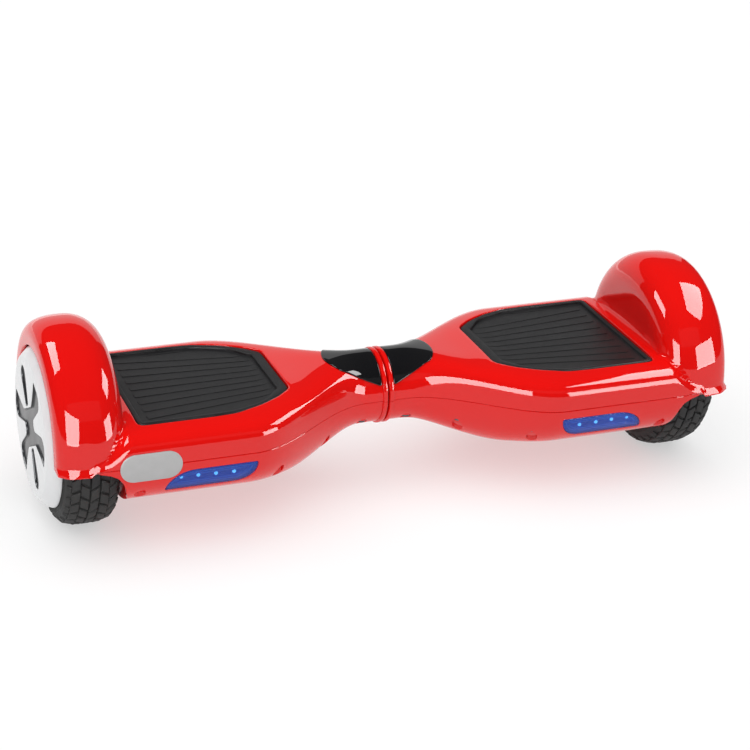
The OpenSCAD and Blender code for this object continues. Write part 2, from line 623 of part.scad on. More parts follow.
module motor_cover(s) color(aluminium) side(s) difference() {
    about_axle() polygon([[axle_r + 2, wheel_x0 + 0.5], [tyre_bore_r - run, wheel_x0 + 2.6],
        [tyre_bore_r - run, rotor_x0],
        [rotor_in_r - run, rotor_x0], [rotor_in_r - run, rotor_x0 + 2], [rotor_in_r - 3, rotor_x0 + 2],
        [rotor_in_r - 3, rotor_x0], [inner_bearing[1] / 2 + 5, rotor_x0],
        [inner_bearing[1] / 2 + 4, wheel_x0 + 13],
        [inner_bearing[1] / 2 + play, wheel_x0 + 13], [inner_bearing[1] / 2 + play, wheel_x0 + 2],
        [axle_r + 2, wheel_x0 + 2]]);
    for (k = [0 : 5]) translate([wheel_x0 - 1, 0, axle_z]) rotate([k * 60, 0, 0])
        translate([0, 0, rotor_in_r - 7])
        rotate([0, 90, 0]) cylinder(h = 3.4, r = 3);
}
module left_motor_cover() motor_cover(LEFT);
module right_motor_cover() motor_cover(RIGHT);
module bearing(b, x) about_axle() polygon([[b[0] / 2 + play, x], [b[1] / 2, x], [b[1] / 2, x + b[2]],
    [b[0] / 2 + play, x + b[2]]]);
inner_bearing_x = wheel_x0 + 2;
outer_bearing_x = rotor_x1 - 1 - outer_bearing[2];
module wheel_bearings(s) color(steel) side(s) {
    bearing(inner_bearing, inner_bearing_x);
    bearing(outer_bearing, outer_bearing_x);
}
module left_wheel_bearings() wheel_bearings(LEFT);
module right_wheel_bearings() wheel_bearings(RIGHT);
tooth_neck = 3;
core_r = 32;
module stator_core(s) color(steel) side(s) translate([stack_x0, 0, axle_z]) rotate([0, 90, 0])
    linear_extrude(stack_x1 - stack_x0) difference() {
        union() {
            circle(r = core_r);
            for (i = [0 : tooth_count - 1]) rotate(i * 360 / tooth_count) {
                translate([core_r - 1, -tooth_neck / 2]) square([stator_r - core_r - 1, tooth_neck]);
                intersection() {
                    translate([stator_r - 3, -4.6]) square([4, 9.2]);
                    circle(r = stator_r);
                }
            }
        }
        circle(r = axle_r + play);
        for (i = [0 : 4]) rotate(i * 72) translate([20, 0]) circle(r = 6);
    }
module left_stator_core() stator_core(LEFT);
module right_stator_core() stator_core(RIGHT);
module stator_windings(s) color(copper) side(s) for (i = [0 : tooth_count - 1])
    translate([stack_x0, 0, axle_z])
    rotate([0, 90, 0]) rotate(i * 360 / tooth_count) difference() {
        translate([core_r + 1.5, -3, -3]) cube([stator_r - core_r - 5.5, 6, stack_x1 - stack_x0 + 6]);
        translate([core_r, -tooth_neck / 2 - 0.1, -0.1])
            cube([stator_r - core_r, tooth_neck + 0.2, stack_x1 - stack_x0 + 0.2]);
    }
module left_stator_windings() stator_windings(LEFT);
module right_stator_windings() stator_windings(RIGHT);
axle_x0 = saddle_x0 - 3;
module axle(s) color(steel) side(s) difference() {
    union() {
        axle_bar(axle_x0, well_x - 1);
        bar_x(axle_r, well_x - 1, outer_bearing_x - 1);
        bar_x(outer_bearing[0] / 2, outer_bearing_x - 1, outer_bearing_x + outer_bearing[2]);
    }
    bar_x(3.5, axle_x0 - 1, stack_x0 + 4);
}
module left_axle() axle(LEFT);
module right_axle() axle(RIGHT);

// Hub cap face pattern: two three-bladed forks joined at a waist, tilted towards the rear
inlay_tilt = 20;
module fork_blade(grow) for (s = [0, 180]) rotate(s) {
    for (m = [0, 1]) mirror([m, 0]) offset(delta = grow) polygon([[0, -1], [5.5, -1], [6.5, 5], [11, 11],
        [22, 15], [27, 23], [25.5, 42], [20, 32], [14.5, 21], [8, 17.5], [0, 17.5]]);
    hull() {
        translate([0, 51 + grow]) circle(r = 4 + grow, $fn = 32);
        translate([0, 24]) circle(r = 1.6 + grow, $fn = 24);
    }
}
module cap_pattern(x0, x1, grow) translate([x0, 0, axle_z]) rotate([0, 90, 0]) linear_extrude(x1 - x0)
    rotate(90 - inlay_tilt) fork_blade(grow);
module hub_cap(s) color(white) side(s) difference() {
    about_axle() polygon([[0, rotor_x1], [tyre_bore_r - 6, rotor_x1], [hub_cap_r - 0.5, cap_back],
        [hub_cap_r, cap_back + 0.5],
        [hub_cap_r - 0.8, cap_face - 1.2], [hub_cap_r - 3, cap_face - 0.3], [hub_cap_r - 7, cap_face],
        [0, cap_face]]);
    cap_pattern(cap_face - inlay_depth, cap_face + 1, 0.1);
}
module left_hub_cap() hub_cap(LEFT);
module right_hub_cap() hub_cap(RIGHT);
module hub_inlay(s) color(gunmetal) side(s) cap_pattern(cap_face - inlay_depth, cap_face - 0.5, 0);
module left_hub_inlay() hub_inlay(LEFT);
module right_hub_inlay() hub_inlay(RIGHT);

// --- Electrics ---
battery_x0 = 94;
module battery_pack() color("#2b50a0") translate([battery_x0, -battery_size[1] / 2, plate_z - battery_size[2]])
    difference() {
    cube(battery_size);
    for (x = [-1, battery_size[0] - 3]) translate([x, -1, -1]) cube([4, 4, battery_size[2] + 2]);
}
module main_board() color(board_green) mirror([1, 0, 0]) {
    z = main_board_z;
    box([72, -42, z], [174, 42, z + board_t]);
    box([84, 20, z - 18], [150, 34, z]);
    for (x = [92, 108]) post(x, -26, 7, z - 22, z);
    box([120, -30, z - 4], [136, -14, z]);
    box([150, -20, z - 9], [164, 4, z]);
    box([76, -6, z - 10], [84, 8, z]);
}
// Cable sweep: a tube of eight sides along a route of points
function unit(v) = v / norm(v);
function tangent(p, i) = unit(p[min(i + 1, len(p) - 1)] - p[max(i - 1, 0)]);
module cable(p, r) loft([for (i = [0 : len(p) - 1]) let (t = tangent(p, i),
    u = unit(cross(t, [0, 0, 1]) + [0, 0.0001, 0]),
    v = cross(t, u)) [for (a = [0 : 45 : 315]) p[i] + r * (u * cos(a) + v * sin(a))]]);
motor_lead_left = [[axle_x0 - 0.1, 0, 82.5], [axle_x0 - 3, 0, 82.5], [axle_x0 - 7, 0, 80.5],
    [axle_x0 - 11, 0, 78],
    [184, 0, 75], [176, 0, 74], [164.2, 0, 74]];
harness_end = [[57.9, 0, 82.5], [62, 0, 81.5], [66, 0, 78], [70, 0, 76], [75.9, 0, 76]];
module left_wiring() color("#2c2c30") {
    translate([-58, 0, axle_z]) rotate([0, 90, 0]) cylinder(h = 107.5, r = 5.5);
    mirror([1, 0, 0]) {
        cable(harness_end, 4);
        cable(motor_lead_left, 2.8);
    }
}
motor_lead_right = [[50, -3, 82.5], [53, -3, 82], [57, -3, 79.5], [61, -4, 75], [66, -9, 71], [71, -24, 70],
    [76, -38, 71],
    [86, -46, 74], [104, -47, 76], [124, -47, 76], [144, -47, 76], [164, -47, 76], [184, -47, 76],
    [axle_x0 - 10, -46, 77], [axle_x0 - 4, -38, 78], [axle_x0 - 3.5, -20, 81], [axle_x0 - 3.4, -7, 82.3],
    [axle_x0 - 2.5, -1.5, 82.5], [axle_x0 - 0.1, 0, 82.5]];
battery_lead = [[50, 3, 82.5], [53, 3, 82], [58, 4, 79.5], [64, 5, 75], [74, 5, 70], [84, 5, 68],
    [93.9, 5, 68]];
charge_lead = [[186, 64.9, 67], [186, 61, 67], [186, 56, 66], [184, 51, 65], [179, 47, 64], [176, 43, 64],
    [176, 39.1, 64]];
module right_wiring() color("#2c2c30") {
    cable(motor_lead_right, 2.8);
    cable(battery_lead, 2.5);
    cable(charge_lead, 2);
}

// --- Charging inlet and power button ---
module charge_port() color(black) {
    y1 = pocket_y + 0.3;
    difference() {
        union() {
            rear_bar(inlet_x, inlet_r, y1 - 18, y1);
            rear_bar(inlet_x, inlet_r + 2, pocket_y - wall - 2.3, pocket_y - wall - 0.1);
        }
        rear_bar(inlet_x, 6.5, y1 - 10, y1 + 1);
    }
    for (k = [0 : 2]) rear_pin(k * 120 + 90, y1);
}
module rear_pin(a, y1) translate([3.6 * cos(a), 0, 3.6 * sin(a)]) rear_bar(inlet_x, 0.9, y1 - 10.5, y1 - 5);
cap_r = 10;
cap_y = pocket_y + 0.6;
hinge_z = pocket[1] - 1.7;
module charge_port_cap() color(rubber) {
    rear_bar(inlet_x, cap_r, cap_y, cap_y + 2);
    translate([inlet_x - 4, cap_y, rear_z]) cube([8, 2, hinge_z]);
    translate([inlet_x - 4, cap_y + 1, rear_z + hinge_z]) rotate([0, 90, 0]) cylinder(h = 8, r = 1.2);
}
button_out = 1.6;
button_travel = 1.2;
module power_button() color(black) difference() {
    rear_bar(button_x, button_r, rear_face - 3, rear_face + button_out);
    rear_bar(button_x, button_r - 3, rear_face + button_out - 0.5, rear_face + button_out + 1);
}
module power_switch() color(black) {
    rear_bar(button_x, button_r + 1.1, rear_face - seat_depth - 8, rear_face - seat_depth - body_gap);
    rear_bar(button_x, 3, rear_face - seat_depth - 1, rear_face - 3 - button_travel - body_gap);
}

left_top_shell();
right_top_shell();
left_bottom_shell();
right_bottom_shell();
left_chassis();
right_chassis();
left_centre_panel();
right_centre_panel();
left_pad_mat();
right_pad_mat();
left_pad_tray();
right_pad_tray();
left_pad_plungers();
right_pad_plungers();
left_sensor_board();
right_sensor_board();
left_led_lens();
right_led_lens();
left_led_board();
right_led_board();
left_tyre();
right_tyre();
left_rotor();
right_rotor();
left_hub_cap();
right_hub_cap();
left_hub_inlay();
right_hub_inlay();
left_magnets();
right_magnets();
left_motor_cover();
right_motor_cover();
left_stator_core();
right_stator_core();
left_stator_windings();
right_stator_windings();
left_wheel_bearings();
right_wheel_bearings();
left_axle();
right_axle();
left_axle_clamp();
right_axle_clamp();
left_clamp_screws();
right_clamp_screws();
left_shell_screws();
right_shell_screws();
left_wiring();
right_wiring();
pivot_tube();
pivot_bushes();
retaining_ring();
battery_pack();
main_board();
power_button();
power_switch();
charge_port();
charge_port_cap();
blank_label();
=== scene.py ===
"""Self-balancing board with glossy shells, ribbed foot pads, lit front lamps and forked hub caps."""
import json
import math

import bmesh
import bpy
import numpy as np
from bpy.props import FloatProperty, FloatVectorProperty, IntProperty, PointerProperty
from mathutils import Matrix, Vector
from mathutils.geometry import delaunay_2d_cdt

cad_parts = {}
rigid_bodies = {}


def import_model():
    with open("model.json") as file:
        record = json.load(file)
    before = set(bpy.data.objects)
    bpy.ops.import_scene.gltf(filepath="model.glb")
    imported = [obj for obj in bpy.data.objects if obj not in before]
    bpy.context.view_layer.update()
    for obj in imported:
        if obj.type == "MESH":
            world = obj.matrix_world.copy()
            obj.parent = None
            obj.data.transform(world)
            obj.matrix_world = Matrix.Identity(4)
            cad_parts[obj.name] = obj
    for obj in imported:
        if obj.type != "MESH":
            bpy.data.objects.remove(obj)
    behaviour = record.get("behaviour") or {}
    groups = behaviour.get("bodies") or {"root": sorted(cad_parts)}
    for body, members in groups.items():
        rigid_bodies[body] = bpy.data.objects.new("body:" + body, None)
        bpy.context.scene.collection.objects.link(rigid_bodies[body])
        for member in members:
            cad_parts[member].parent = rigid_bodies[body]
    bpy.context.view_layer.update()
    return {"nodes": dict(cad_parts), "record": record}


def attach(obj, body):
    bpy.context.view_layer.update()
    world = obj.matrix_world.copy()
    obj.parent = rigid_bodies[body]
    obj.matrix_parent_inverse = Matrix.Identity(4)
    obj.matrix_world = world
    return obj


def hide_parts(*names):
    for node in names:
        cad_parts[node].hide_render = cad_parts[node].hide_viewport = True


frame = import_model()

bl_info = {
    "name": "Self-balancing board",
    "version": (1, 0, 0),
    "blender": (4, 5, 0),
    "location": "View3D > Sidebar > Board",
    "description": "Builds the board's shells, pads, wheels, lamps and trims round its CAD frame",
    "category": "Object",
}

# --- Sizes in millimetres, the same as the CAD source's ---
MM = 0.001
HALF_LEN, HALF_DEPTH = 292.0, 93.0
SPLIT_Z, SEAM, WALL = 80.6, 0.2, 2.5
DECK_Z, BELLY_Z, AXLE_Z = 109.0, 33.0, 82.5
NECK_R, NECK_X, NECK_RUN = 30.5, 18.0, 118.0
CENTRE_X, RIM_R, RIM_W = 0.75, 32.5, 4.0
FLANK_X, WELL_X, LIP_X = 234.0, 237.0, 289.5
ARCH_R, ARCH_IN_R, ARCH_OUT_R = 88.5, 60.0, 72.0
ARCH_MID, ARCH_HALF, WELL_R, OPEN_R = 263.0, 29.0, 85.5, 66.0
AXLE_HOLE_R = 12.5
PAD_X0, PAD_X1, PAD_HALF, PAD_TIP, PAD_GAP = 91.0, 225.0, 71.0, 39.0, 0.6
MAT_Z, MAT_TOP, RIB_TOP, RECESS_Z = 104.5, 107.5, 110.0, 100.0
LAMP = (133.0, 208.0, 54.0, 73.0)
LAMP_IN, LAMP_OUT = 19.0, 24.0     # length of the round corners towards the centre and the wheel
INLET_X, BUTTON_X, REAR_Z = 186.0, 152.0, 67.0
LABEL = (220.5, 80.5, 25.0, 12.0)   # middle along X, height, half length and end radius
WHEEL_X0, WHEEL_X1, TYRE_R = 239.5, 284.5, 82.5
CAP_R, CAP_FLAT_R, CAP_FACE, CAP_BACK = 67.0, 58.0, 296.7, 284.8
SEAT_Z, BOSS_R = 62.0, 4.5


# --- The shells' surface, as radius from the seam's middle in direction a ---
def smooth(t):
    t = np.clip(t, 0, 1)
    return t * t * (3 - 2 * t)


def mix(a, b, t):
    return a + (b - a) * t


def half_w(x):
    return (
        mix(NECK_R, HALF_DEPTH, smooth((x - NECK_X) / NECK_RUN))
        - 5 * smooth((x - FLANK_X - 4) / 46)
        - 6 * smooth((x - HALF_LEN + 10) / 10)
    )


def top_h(x):
    rise = mix(NECK_R + AXLE_Z - SPLIT_Z, DECK_Z - SPLIT_Z, smooth((x - NECK_X) / 60))
    return rise * mix(1, 0.2, smooth((x - FLANK_X) / 26))


def bottom_h(x):
    return mix(SPLIT_Z - AXLE_Z + NECK_R, SPLIT_Z - BELLY_Z, smooth((x - NECK_X) / 80))


def top_n(x):
    return mix(2.0, 4.6, smooth((x - NECK_X) / 60))


def bottom_n(x):
    return mix(2.0, 2.6, smooth((x - NECK_X) / 40))


def polar(w, h, n, a):
    return (np.abs(np.cos(a) / w) ** n + np.abs(np.sin(a) / h) ** n) ** (-1 / n)


def about_axle(r, a, up=True):
    """Radius from the seam's middle of a circle of radius r round the axle."""
    c = AXLE_Z - (SPLIT_Z if up else SPLIT_Z - SEAM)
    return c * np.sin(a) + np.sqrt(np.maximum(r * r - (c * np.cos(a)) ** 2, 0))


def arch_radius(x):
    u = np.clip((x - ARCH_MID) / ARCH_HALF, -1, 1)
    inner = ARCH_IN_R + (ARCH_R - ARCH_IN_R) * (1 - np.abs(u) ** 2.2) ** (1 / 2.2)
    outer = ARCH_OUT_R + (ARCH_R - ARCH_OUT_R) * (1 - np.abs(u) ** 2.6) ** (1 / 2.6)
    return np.where(u < 0, inner, outer)


def smax(a, b, k):
    return np.maximum(a, b) + np.maximum(k - np.abs(a - b), 0) ** 2 / (4 * k)


def top_body(x, a, d=0.0):
    return polar(half_w(x) + d, top_h(x) + d, top_n(x), a)


def top_arch(x, a, d=0.0):
    return smax(top_body(x, a, d), about_axle(arch_radius(x) + d, a), 7.0)


def bottom_body(x, a, d=0.0):
    return polar(half_w(x) + d, bottom_h(x) + d, bottom_n(x), a)


def face_y(x, z, d=0.0):
    """Depth of the shells' front or rear face at a height."""
    x, z = np.asarray(x, float), np.asarray(z, float)
    up = z > SPLIT_Z
    h = np.where(up, top_h(x), bottom_h(x)) + d
    n = np.where(up, top_n(x), bottom_n(x))
    inside = np.clip(1 - np.abs((z - SPLIT_Z) / h) ** n, 0, 1)
    return (half_w(x) + d) * inside ** (1 / n)


# --- Flat outlines ---
def rounded(points, window, count):
    """Closed outline through points, its corners rounded over a window, resampled to count points."""
    p = np.array(points, float)
    closed = np.vstack([p, p[:1]])
    run = np.concatenate([[0], np.cumsum(np.linalg.norm(np.diff(closed, axis=0), axis=1))])
    n = max(int(run[-1] / (window / 8)), 64)
    t = np.linspace(0, run[-1], n, endpoint=False)
    q = np.stack([np.interp(t, run, closed[:, k]) for k in (0, 1)], 1)
    width = 5
    for _ in range(3):
        q = sum(np.roll(q, k, 0) for k in range(-width, width + 1)) / (2 * width + 1)
    closed = np.vstack([q, q[:1]])
    run = np.concatenate([[0], np.cumsum(np.linalg.norm(np.diff(closed, axis=0), axis=1))])
    t = np.linspace(0, run[-1], count, endpoint=False)
    return np.stack([np.interp(t, run, closed[:, k]) for k in (0, 1)], 1)


def grown(loop, d):
    """Anticlockwise outline moved outwards by d."""
    along = np.roll(loop, -1, 0) - np.roll(loop, 1, 0)
    along /= np.linalg.norm(along, axis=1)[:, None]
    return loop + d * np.stack([along[:, 1], -along[:, 0]], 1)


def inset(loop, d):
    """Anticlockwise outline moved inwards by d, or by less where it is too narrow for that."""
    along = np.roll(loop, -1, 0) - np.roll(loop, 1, 0)
    along /= np.linalg.norm(along, axis=1)[:, None]
    inward = np.stack([-along[:, 1], along[:, 0]], 1)
    gap = loop[None] - loop[:, None]
    depth = (gap * inward[:, None]).sum(2)
    room = np.where(depth > 1e-6, (gap ** 2).sum(2) / np.maximum(2 * depth, 1e-9), np.inf).min(1)
    return loop + np.minimum(d, 0.8 * room)[:, None] * inward


def circle(x, y, r, count):
    t = np.linspace(0, 2 * np.pi, count, endpoint=False)
    return np.stack([x + r * np.cos(t), y + r * np.sin(t)], 1)


def inside(loop, pts):
    """Which points lie inside a closed outline."""
    x, y = pts[:, 0][:, None], pts[:, 1][:, None]
    a, b = loop, np.roll(loop, -1, 0)
    cross = (a[:, 1] > y) != (b[:, 1] > y)
    rise = np.where(b[:, 1] == a[:, 1], 1e-12, b[:, 1] - a[:, 1])
    return (cross & (x < (b[:, 0] - a[:, 0]) * (y - a[:, 1]) / rise + a[:, 0])).sum(1) % 2 == 1


def nearest(loop, pts):
    return np.sqrt(((pts[:, None] - loop[None]) ** 2).sum(2)).min(1)


def pad_loop(grow=0.0, count=200):
    taper = [(PAD_X0, PAD_TIP), (PAD_X0 + 14, PAD_TIP + 13), (PAD_X0 + 31, PAD_HALF - 9),
             (PAD_X0 + 53, PAD_HALF - 1), (PAD_X0 + 74, PAD_HALF), (PAD_X1, PAD_HALF)]
    both = [(x, -y) for x, y in taper] + [(x, y) for x, y in reversed(taper)]
    return grown(rounded(both, 5.0, count), grow)


def lamp_loop(grow=0.0, count=96):
    x0, x1, z0, z1 = LAMP
    turn = np.radians(np.linspace(0, 90, 11))
    low = [(x0 + LAMP_IN * (1 - math.cos(t)), mix(z1 - 1, z0, math.sin(t))) for t in turn]
    high = [(x1 - LAMP_OUT * (1 - math.cos(t)), mix(z0 + 1, z1, math.sin(t))) for t in turn]
    return grown(rounded(low + [(x1, z0)] + high + [(x0, z1)], 1.2, count), grow)


# --- Meshes ---
class Build:
    """Gathers vertices and faces of one closed mesh, in millimetres."""

    def __init__(self):
        self.points, self.faces, self.count = [], [], 0

    def add(self, pts):
        pts = np.asarray(pts, float).reshape(-1, 3)
        ids = np.arange(self.count, self.count + len(pts))
        self.points.append(pts)
        self.count += len(pts)
        return ids

    def quads(self, low, high, closed=True):
        a, b = np.asarray(low), np.asarray(high)
        a2, b2 = np.roll(a, -1), np.roll(b, -1)
        rows = np.stack([a, a2, b2, b], 1)
        self.faces += (rows if closed else rows[:-1]).tolist()

    def rings(self, start, pts_list, end=None):
        """Walls from an outline's ids through further outlines, and on to end's ids if they are given."""
        last = start
        for pts in pts_list:
            ids = self.add(pts)
            self.quads(last, ids)
            last = ids
        if end is not None:
            self.quads(last, end)
        return last

    def cap(self, ids):
        self.faces.append(list(map(int, ids)))

    def fill(self, loop, ids, place, step, holes=(), grid=True):
        """Triangles over a flat outline less its holes, with inner points every step, each placed by place."""
        pts, known = [loop], [ids]
        edges = [(i, (i + 1) % len(loop)) for i in range(len(loop))]
        base = len(loop)
        for h, hid in holes:
            edges += [(base + i, base + (i + 1) % len(h)) for i in range(len(h))]
            pts.append(h)
            known.append(hid)
            base += len(h)
        if grid:
            lo, hi = loop.min(0), loop.max(0)
            gx, gy = np.meshgrid(np.arange(lo[0], hi[0], step), np.arange(lo[1], hi[1], step))
            g = np.stack([gx.ravel(), gy.ravel()], 1) + step * 0.37
            keep = inside(loop, g)
            for h, _ in holes:
                keep &= ~inside(h, g)
            g = g[keep]
            if len(g):
                g = g[nearest(np.vstack(pts), g) > step * 0.6]
            if len(g):
                pts.append(g)
                known.append(self.add(place(g)))
        flat, known = np.vstack(pts), np.concatenate(known)
        self.cdt(flat, known, edges, loop, [h for h, _ in holes])

    def cdt(self, flat, known, edges, border, holes):
        _, _, tris, origin, _, _ = delaunay_2d_cdt([Vector(p) for p in flat], edges, [], 0, 1e-7)
        if not all(origin):
            raise RuntimeError("an outline crosses another one")
        tri = np.array([[origin[i][0] for i in t] for t in tris])
        mid = flat[tri].mean(1)
        keep = inside(border, mid)
        for h in holes:
            keep &= ~inside(h, mid)
        self.faces += known[tri[keep]].tolist()

    def finish(self, name, material, side=1, angle=38, merge=0.004, recalc=True):
        pts = np.vstack(self.points) * MM
        if side < 0:
            pts = pts * (-1, 1, 1)
        me = bpy.data.meshes.new(name)
        me.from_pydata(pts.tolist(), [], self.faces)
        bm = bmesh.new()
        bm.from_mesh(me)
        bmesh.ops.remove_doubles(bm, verts=bm.verts, dist=merge * MM)
        bmesh.ops.dissolve_degenerate(bm, dist=1e-7, edges=bm.edges)
        if recalc:
            bmesh.ops.recalc_face_normals(bm, faces=bm.faces)
        elif side < 0:
            bmesh.ops.reverse_faces(bm, faces=bm.faces)
        bm.to_mesh(me)
        bm.free()
        me.materials.append(material)
        me.shade_smooth()
        me.set_sharp_from_angle(angle=math.radians(angle))
        ob = bpy.data.objects.new(name, me)
        bpy.context.scene.collection.objects.link(ob)
        return ob


class Skin:
    """One side of a shell: a grid of rows along the body and columns round it, with outlines cut out."""

    def __init__(self, build, rows, angles, base):
        self.build, self.rows, self.angles, self.base = build, rows, angles, base
        xs, rs = zip(*[row(angles) for row in rows])
        self.x = np.array([np.broadcast_to(x, angles.shape) for x in xs])
        r = np.array(rs)
        grid = np.stack([self.x, r * np.cos(angles), base + r * np.sin(angles)], 2)
        self.r = r
        self.ids = build.add(grid).reshape(self.x.shape)
        self.kept = np.ones((len(rows) - 1, len(angles) - 1), bool)

    def place(self, ij):
        """Point on the grid at fractional row and column."""
        i, j = ij[:, 0], ij[:, 1]
        i0 = np.clip(i.astype(int), 0, len(self.rows) - 2)
        j0 = np.clip(j.astype(int), 0, len(self.angles) - 2)
        u, v = i - i0, j - j0
        a = mix(self.angles[j0], self.angles[j0 + 1], v)

        def at(g):
            return mix(mix(g[i0, j0], g[i0 + 1, j0], u), mix(g[i0, j0 + 1], g[i0 + 1, j0 + 1], u), v)

        return at(self.x), a, at(self.r)

    def index(self, x, a, first, last):
        """Fractional row and column of points given by x and angle, in the rows from first to last."""
        order = np.argsort(self.angles)
        j = np.interp(a, self.angles[order], order.astype(float))
        j0 = np.clip(j.astype(int), 0, len(self.angles) - 2)
        cols = mix(self.x[first:last + 1, j0], self.x[first:last + 1, j0 + 1], j - j0)
        i = np.array([np.interp(xx, c, np.arange(first, last + 1)) if c[-1] > c[0] else
                      np.interp(xx, c[::-1], np.arange(last, first - 1, -1)) for xx, c in zip(x, cols.T)])
        return np.stack([i, j], 1)

    def cut(self, ij, pts):
        """Cuts an outline out of the grid and gives its ids; pts are the outline's true points."""
        i0, j0 = np.maximum(np.floor(ij.min(0)).astype(int) - 1, 0)
        i1 = min(int(math.ceil(ij[:, 0].max())) + 1, len(self.rows) - 1)
        j1 = min(int(math.ceil(ij[:, 1].max())) + 1, len(self.angles) - 1)
        self.kept[i0:i1, j0:j1] = False
        border = ([(i, j0) for i in range(i0, i1)] + [(i1, j) for j in range(j0, j1)]
                  + [(i, j1) for i in range(i1, i0, -1)] + [(i0, j) for j in range(j1, j0, -1)])
        gi, gj = np.meshgrid(np.arange(i0 + 1, i1), np.arange(j0 + 1, j1), indexing="ij")
        free = np.stack([gi.ravel(), gj.ravel()], 1)
        if len(free):
            free = free[~inside(ij, free)]
        if len(free):
            free = free[nearest(ij, free) > 0.45]
        border = np.array(border)
        ids = self.build.add(pts)
        flat = np.vstack([border, ij, free]).astype(float)
        known = np.concatenate([self.ids[border[:, 0], border[:, 1]], ids,
                                self.ids[free[:, 0], free[:, 1]] if len(free) else []]).astype(int)
        nb, nl = len(border), len(ij)
        edges = [(k, (k + 1) % nb) for k in range(nb)] + [(nb + k, nb + (k + 1) % nl) for k in range(nl)]
        self.build.cdt(flat, known, edges, border.astype(float), [ij])
        return ids

    def close(self):
        ids = self.ids
        i, j = np.nonzero(self.kept)
        self.build.faces += np.stack([ids[i, j], ids[i + 1, j], ids[i + 1, j + 1], ids[i, j + 1]], 1).tolist()


def even_angles(radius, count, low, high):
    """Angles that step evenly along an outline given by its radius."""
    a = np.linspace(low, high, 1441)
    r = radius(a)
    p = np.stack([r * np.cos(a), r * np.sin(a)], 1)
    run = np.concatenate([[0], np.cumsum(np.linalg.norm(np.diff(p, axis=0), axis=1))])
    turn = np.concatenate([[0], np.cumsum(np.abs(np.diff(np.unwrap(np.arctan2(*np.diff(p, axis=0).T[::-1]))))), [0]])
    turn[-1] = turn[-2]
    weight = run / run[-1] + 0.8 * turn / turn[-1]
    return np.interp(np.linspace(0, weight[-1], count), weight, a)


EDGE = 0.35   # rounding of the shells' seam edges


def eased(angles, row):
    """Row whose two ends are pulled in a little, so that the seam's edges are rounded."""
    x, r = row
    r = np.broadcast_to(r, angles.shape).copy()
    r[0] -= EDGE
    r[-1] -= EDGE
    return x, r


def row_at(x, radius):
    return lambda a: eased(a, (x, radius(x, a)))


def rim_rows(up):
    """Rounded rim at the centre."""
    out = []
    for dx, dr in ((0, -1), (0.3, -0.3), (1, 0), (3, 0), (3.7, -0.3), (4, -1), (4, -1.9)):
        out.append(lambda a, dx=dx, dr=dr: eased(a, (CENTRE_X + dx, about_axle(RIM_R + dr, a, up))))
    return out


FILLET = 7.0


def flank_step(a):
    """Foot of the arch's inner flank: body radius, height of the wall above it, and its fillet."""
    rb = top_body(FLANK_X, a)
    h = np.maximum(top_arch(FLANK_X + 0.001, a) - rb, 0)
    return rb, h, FILLET * (1 - np.exp(-h / 9))


def upper_outer_rows(body_rows):
    rows = rim_rows(True)
    for t in np.linspace(0, 1, body_rows):
        rows.append(lambda a, t=t: (lambda x: eased(a, (x, top_body(x, a))))(
            mix(CENTRE_X + RIM_W + 0.25, FLANK_X - flank_step(a)[2], t)))
    for deg in range(15, 91, 15):
        def fillet(a, th=math.radians(deg)):
            rb, h, f = flank_step(a)
            x = FLANK_X - f + f * math.sin(th)
            return eased(a, (x, top_body(x, a) + np.minimum(f, h) * (1 - math.cos(th))))
        rows.append(fillet)
    for t in (0.2, 0.4, 0.6, 0.8, 1.0):
        def wall(a, t=t):
            rb, h, f = flank_step(a)
            return eased(a, (np.full(a.shape, FLANK_X), mix(rb + np.minimum(f, h), rb + h, t)))
        rows.append(wall)
    for deg in list(range(6, 90, 6)):
        rows.append(row_at(ARCH_MID - ARCH_HALF * math.cos(math.radians(deg)) ** (2 / 2.2), top_arch))
    for deg in list(range(0, 91, 5)):
        rows.append(row_at(ARCH_MID + ARCH_HALF * math.sin(math.radians(deg)) ** (2 / 2.6), top_arch))
    first = len(rows)
    for t in (0.4, 0.8):
        rows.append(lambda a, t=t: (HALF_LEN, mix(top_arch(HALF_LEN, a), about_axle(OPEN_R + 1.2, a), t)))
    for x, r in ((HALF_LEN, 1.2), (HALF_LEN - 0.15, 0.6), (HALF_LEN - 0.6, 0.15), (HALF_LEN - 1.2, 0.0), (LIP_X, 0.0)):
        rows.append(lambda a, x=x, r=r: (x, about_axle(OPEN_R + r, a)))
    return rows, first


def upper_inner_rows():
    """Wheel cavity, the well's inner wall with its axle hole, then the body's inside back to the centre."""
    def cavity(x, a):
        return np.minimum(top_arch(x, a) - WALL, about_axle(WELL_R, a))
    rows = [lambda a: (LIP_X, np.maximum(about_axle(ARCH_OUT_R - WALL, a), about_axle(OPEN_R + 1, a)))]
    for t in np.linspace(0.06, 1, 14):
        rows.append(lambda a, x=mix(LIP_X, WELL_X, t): (x, cavity(x, a)))
    for t in (0.5, 1.0):
        rows.append(lambda a, t=t: (WELL_X, mix(cavity(WELL_X, a), about_axle(AXLE_HOLE_R, a), t)))
    back = FLANK_X - 0.4
    rows.append(lambda a: (back, about_axle(AXLE_HOLE_R, a)))
    rows.append(lambda a: (back, mix(about_axle(AXLE_HOLE_R, a), top_body(back, a, -WALL), 0.5)))
    for x in np.linspace(back, CENTRE_X, 46):
        rows.append(lambda a, x=x: (x, top_body(x, a, -WALL)))
    return rows


def deck_angle(x, y, d=0.0):
    """Angle at which the upper body's surface reaches depth y."""
    lo, hi = np.zeros(len(x)), np.full(len(x), np.pi)
    for _ in range(50):
        m = (lo + hi) / 2
        high = top_body(x, m, d) * np.cos(m) > y
        lo, hi = np.where(high, m, lo), np.where(high, hi, m)
    return (lo + hi) / 2


